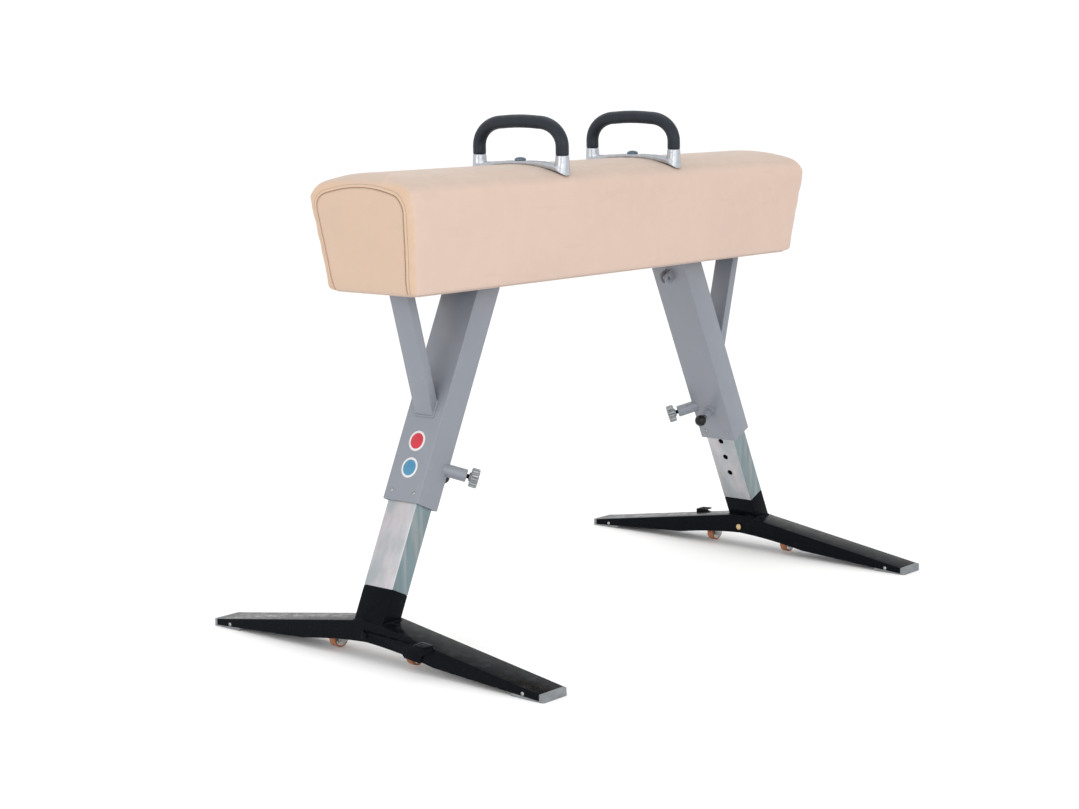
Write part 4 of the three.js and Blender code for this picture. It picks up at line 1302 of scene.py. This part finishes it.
def add_wheel(name, where, side, sign, materials):
    """Polyurethane tread on a metal hub."""
    tread = [(0.0200, -0.0098), (0.0236, -0.0098), (0.0249, -0.0086), (0.0250, -0.0060), (0.0250, 0.0060)]
    tread += [(0.0249, 0.0086), (0.0236, 0.0098), (0.0200, 0.0098), (0.0200, -0.0098)]
    hub = [(0.0056, -0.0100), (0.0090, -0.0100), (0.0096, -0.0094), (0.0104, -0.0078), (0.0172, -0.0078)]
    hub += [(0.0182, -0.0094), (0.0199, -0.0096), (0.0199, 0.0096), (0.0182, 0.0094), (0.0172, 0.0078)]
    hub += [(0.0104, 0.0078), (0.0096, 0.0094), (0.0090, 0.0100), (0.0056, 0.0100), (0.0056, -0.0100)]
    pieces = [turned("tread", tread, materials["tread"], 56), turned("hub", hub, materials["hub"], 48)]
    wheel = joined(f"{name}_{where}_rolling_wheel", pieces)
    spot = Matrix.Translation((FOOT_X, sign * WHEEL_Y[where], WHEEL_Z)) @ frame_along((0, 1, 0))
    at_end(wheel, end_turn(side) @ spot)
    finish_piece(wheel, f"{name}_{where}_roller", "wheel_tread", f"{name}_{where}_wheel")


def eased_shoe(node, material):
    """The CAD shoe with its outer upright corners well rounded and the rest just eased."""
    source = NODES[node]
    piece = new_object(node + "_eased", source.data.copy(), material)
    work = bmesh.new()
    work.from_mesh(piece.data)
    merge_flat(work)
    outer = []
    for edge in work.edges:
        low, high = sorted((v.co for v in edge.verts), key=lambda place: place.z)
        if min(abs(low.y), abs(high.y)) > FOOT_HALF + 0.010 and high.z - low.z > 0.010:
            outer.append(edge)
    round_off(work, outer, 0.007, 4)
    work.to_mesh(piece.data)
    work.free()
    bevel_edges(piece, 0.0014, 2, 40)
    return finish_piece(piece, source["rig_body"], "shoe_rubber", node)


def add_shoe(name, where, side, sign, materials):
    eased_shoe(f"{name}_{where}_shoe", materials["shoe"])
    screws = []
    for face in (-1, 1):
        screw = button_screw("screw", 0.0048, 0.0016, materials["steel"])
        x = FOOT_X + face * (FOOT_WIDTH / 2 + 0.0001)
        spot = Matrix.Translation((x, sign * SHOE_SCREW[0], SHOE_SCREW[1]))
        screws.append(at_end(screw, end_turn(side) @ spot @ frame_along((face, 0, 0))))
    finish_piece(joined(f"{name}_{where}_shoe_screws", screws), f"{name}_foot", "steel")


def add_tread_ribs(name, side, materials):
    """Raised ribs on the pedal, so that a shoe doesn't slip off it."""
    ribs = []
    near = FOOT_X + FOOT_WIDTH / 2 + 0.004
    for i in range(TREAD_RIBS):
        y = 0.194 + TREAD_RIB_STEP * i
        z = beam_top(y) + 0.007 + 0.003 * (y - 0.190) / 0.032
        path = [(near + 0.002, y, z - 0.0006), (near + 0.028, y, z - 0.0006)]
        ribs.append(swept("rib", path, [TREAD_RIB_RADIUS] * 2, materials["black"], 10))
    group = joined(f"{name}_pedal_ribs", ribs)
    at_end(group, end_turn(side))
    finish_piece(group, f"{name}_transport_pedal", "black_paint")


def add_pivot_bolt(name, side, materials):
    """The plated head on the inner end of the pedal's shaft."""
    bolt = hex_bolt(f"{name}_pivot_bolt", 0.0092, 0.0064, materials["brass"])
    spot = Matrix.Translation((FOOT_X - FOOT_WIDTH / 2 - 0.0003, 0, PIVOT_Z)) @ frame_along((-1, 0, 0))
    at_end(bolt, end_turn(side) @ spot)
    finish_piece(bolt, f"{name}_transport_pedal", "steel")


def add_socket_weld(name, side, materials):
    """The bead where the socket meets the top of the beam."""
    socket = NODES[f"{name}_foot_socket"]
    points = np.array([end_turn(side).inverted() @ v.co for v in socket.data.vertices])
    low = points[points[:, 2] < beam_top(0) + 0.004]
    left, right = low[:, 0].min(), low[:, 0].max()
    half = INNER_WIDTH / 2
    z = beam_top(half)
    loop = [(left, -half, z), (left, -0.03, z + 0.0028), (left, 0.03, z + 0.0028), (left, half, z)]
    loop += [(right, half, z), (right, 0.03, z + 0.0028), (right, -0.03, z + 0.0028), (right, -half, z)]
    loop.append(loop[0])
    bead = weld_bead(f"{name}_socket_weld", loop, 0.0026, materials["black"])
    at_end(bead, end_turn(side))
    finish_piece(bead, f"{name}_foot", "black_paint")


def add_feet(materials):
    for name, side in ENDS.items():
        refined(f"{name}_foot_beam", materials["black"], 0.0024, "black_paint", 3, 0.03)
        refined(f"{name}_pedal", materials["black"], 0.0008, "black_paint", 2, 0.003)
        add_tread_ribs(name, side, materials)
        add_pivot_bolt(name, side, materials)
        add_socket_weld(name, side, materials)
        for where, sign in (("pedal_side", 1), ("plain_side", -1)):
            add_shoe(name, where, side, sign, materials)
            add_wheel(name, where, side, sign, materials)
            refined(f"{name}_{where}_carrier", materials["steel"], 0.0006, "steel", 2, 0.003)


# ---- stage, light, camera ----
def add_floor():
    floor = block("floor", (-30, -30, -0.02), (30, 30, 0.0))
    pale = Finish("pale_floor", (0.95, 0.95, 0.95), 0.9, Specular_IOR_Level=0.1)
    uneven = pale.patches(3, 3, 0.3, 0.7)
    pale.color(pale.mix(uneven, (0.95, 0.95, 0.95), (0.97, 0.97, 0.97)))
    floor.data.materials.append(pale.material)


def area_light(name, place, target, size, watts, color=(1, 1, 1)):
    lamp = bpy.data.lights.new(name, "AREA")
    lamp.shape = "RECTANGLE"
    lamp.size, lamp.size_y = size
    lamp.energy = watts
    lamp.color = color
    holder = bpy.data.objects.new(name, lamp)
    holder.location = place
    aim = Vector(target) - Vector(place)
    holder.rotation_euler = aim.to_track_quat("-Z", "Y").to_euler()
    bpy.context.scene.collection.objects.link(holder)


def add_light():
    world = bpy.data.worlds.new("studio")
    bpy.context.scene.world = world
    world.use_nodes = True
    sky = world.node_tree.nodes["Background"]
    sky.inputs["Color"].default_value = (1.0, 1.0, 1.0, 1)
    sky.inputs["Strength"].default_value = 1.08
    middle = (0, 0, 0.7)
    area_light("front", (-1.5, -5.0, 2.6), middle, (4.0, 2.5), 60, (0.92, 0.98, 1.0))
    area_light("left", (-5.5, 0.5, 2.0), middle, (2.5, 2.5), 40, (1.0, 0.98, 0.95))
    area_light("key", (-4.7, -4.1, 2.0), middle, (0.7, 0.7), 26)
    area_light("top", (0.0, 0.5, 4.2), middle, (3.0, 2.0), 15)


def add_camera():
    lens = bpy.data.cameras.new("camera")
    lens.lens = CAMERA_LENS
    lens.sensor_width = 36
    lens.clip_start = 0.01
    lens.clip_end = 200
    forward = Vector((
        math.sin(CAMERA_YAW) * math.cos(CAMERA_PITCH),
        math.cos(CAMERA_YAW) * math.cos(CAMERA_PITCH),
        -math.sin(CAMERA_PITCH),
    ))
    level = Vector((math.cos(CAMERA_YAW), -math.sin(CAMERA_YAW), 0))
    down = forward.cross(level)
    right = level * math.cos(CAMERA_ROLL) + down * math.sin(CAMERA_ROLL)
    up = level * math.sin(CAMERA_ROLL) - down * math.cos(CAMERA_ROLL)
    turn = Matrix((right, up, -forward)).transposed().to_4x4()
    camera = bpy.data.objects.new("camera", lens)
    camera.matrix_world = Matrix.Translation(CAMERA_PLACE) @ turn
    bpy.context.scene.collection.objects.link(camera)
    bpy.context.scene.camera = camera


def main():
    bpy.context.scene.view_settings.view_transform = "Standard"
    materials = make_materials()
    add_camera()
    add_light()
    add_floor()
    add_horse_body(materials)
    add_saddles(materials)
    add_grips(materials)
    add_screw_caps(materials)
    add_legs(materials)
    add_feet(materials)


main()
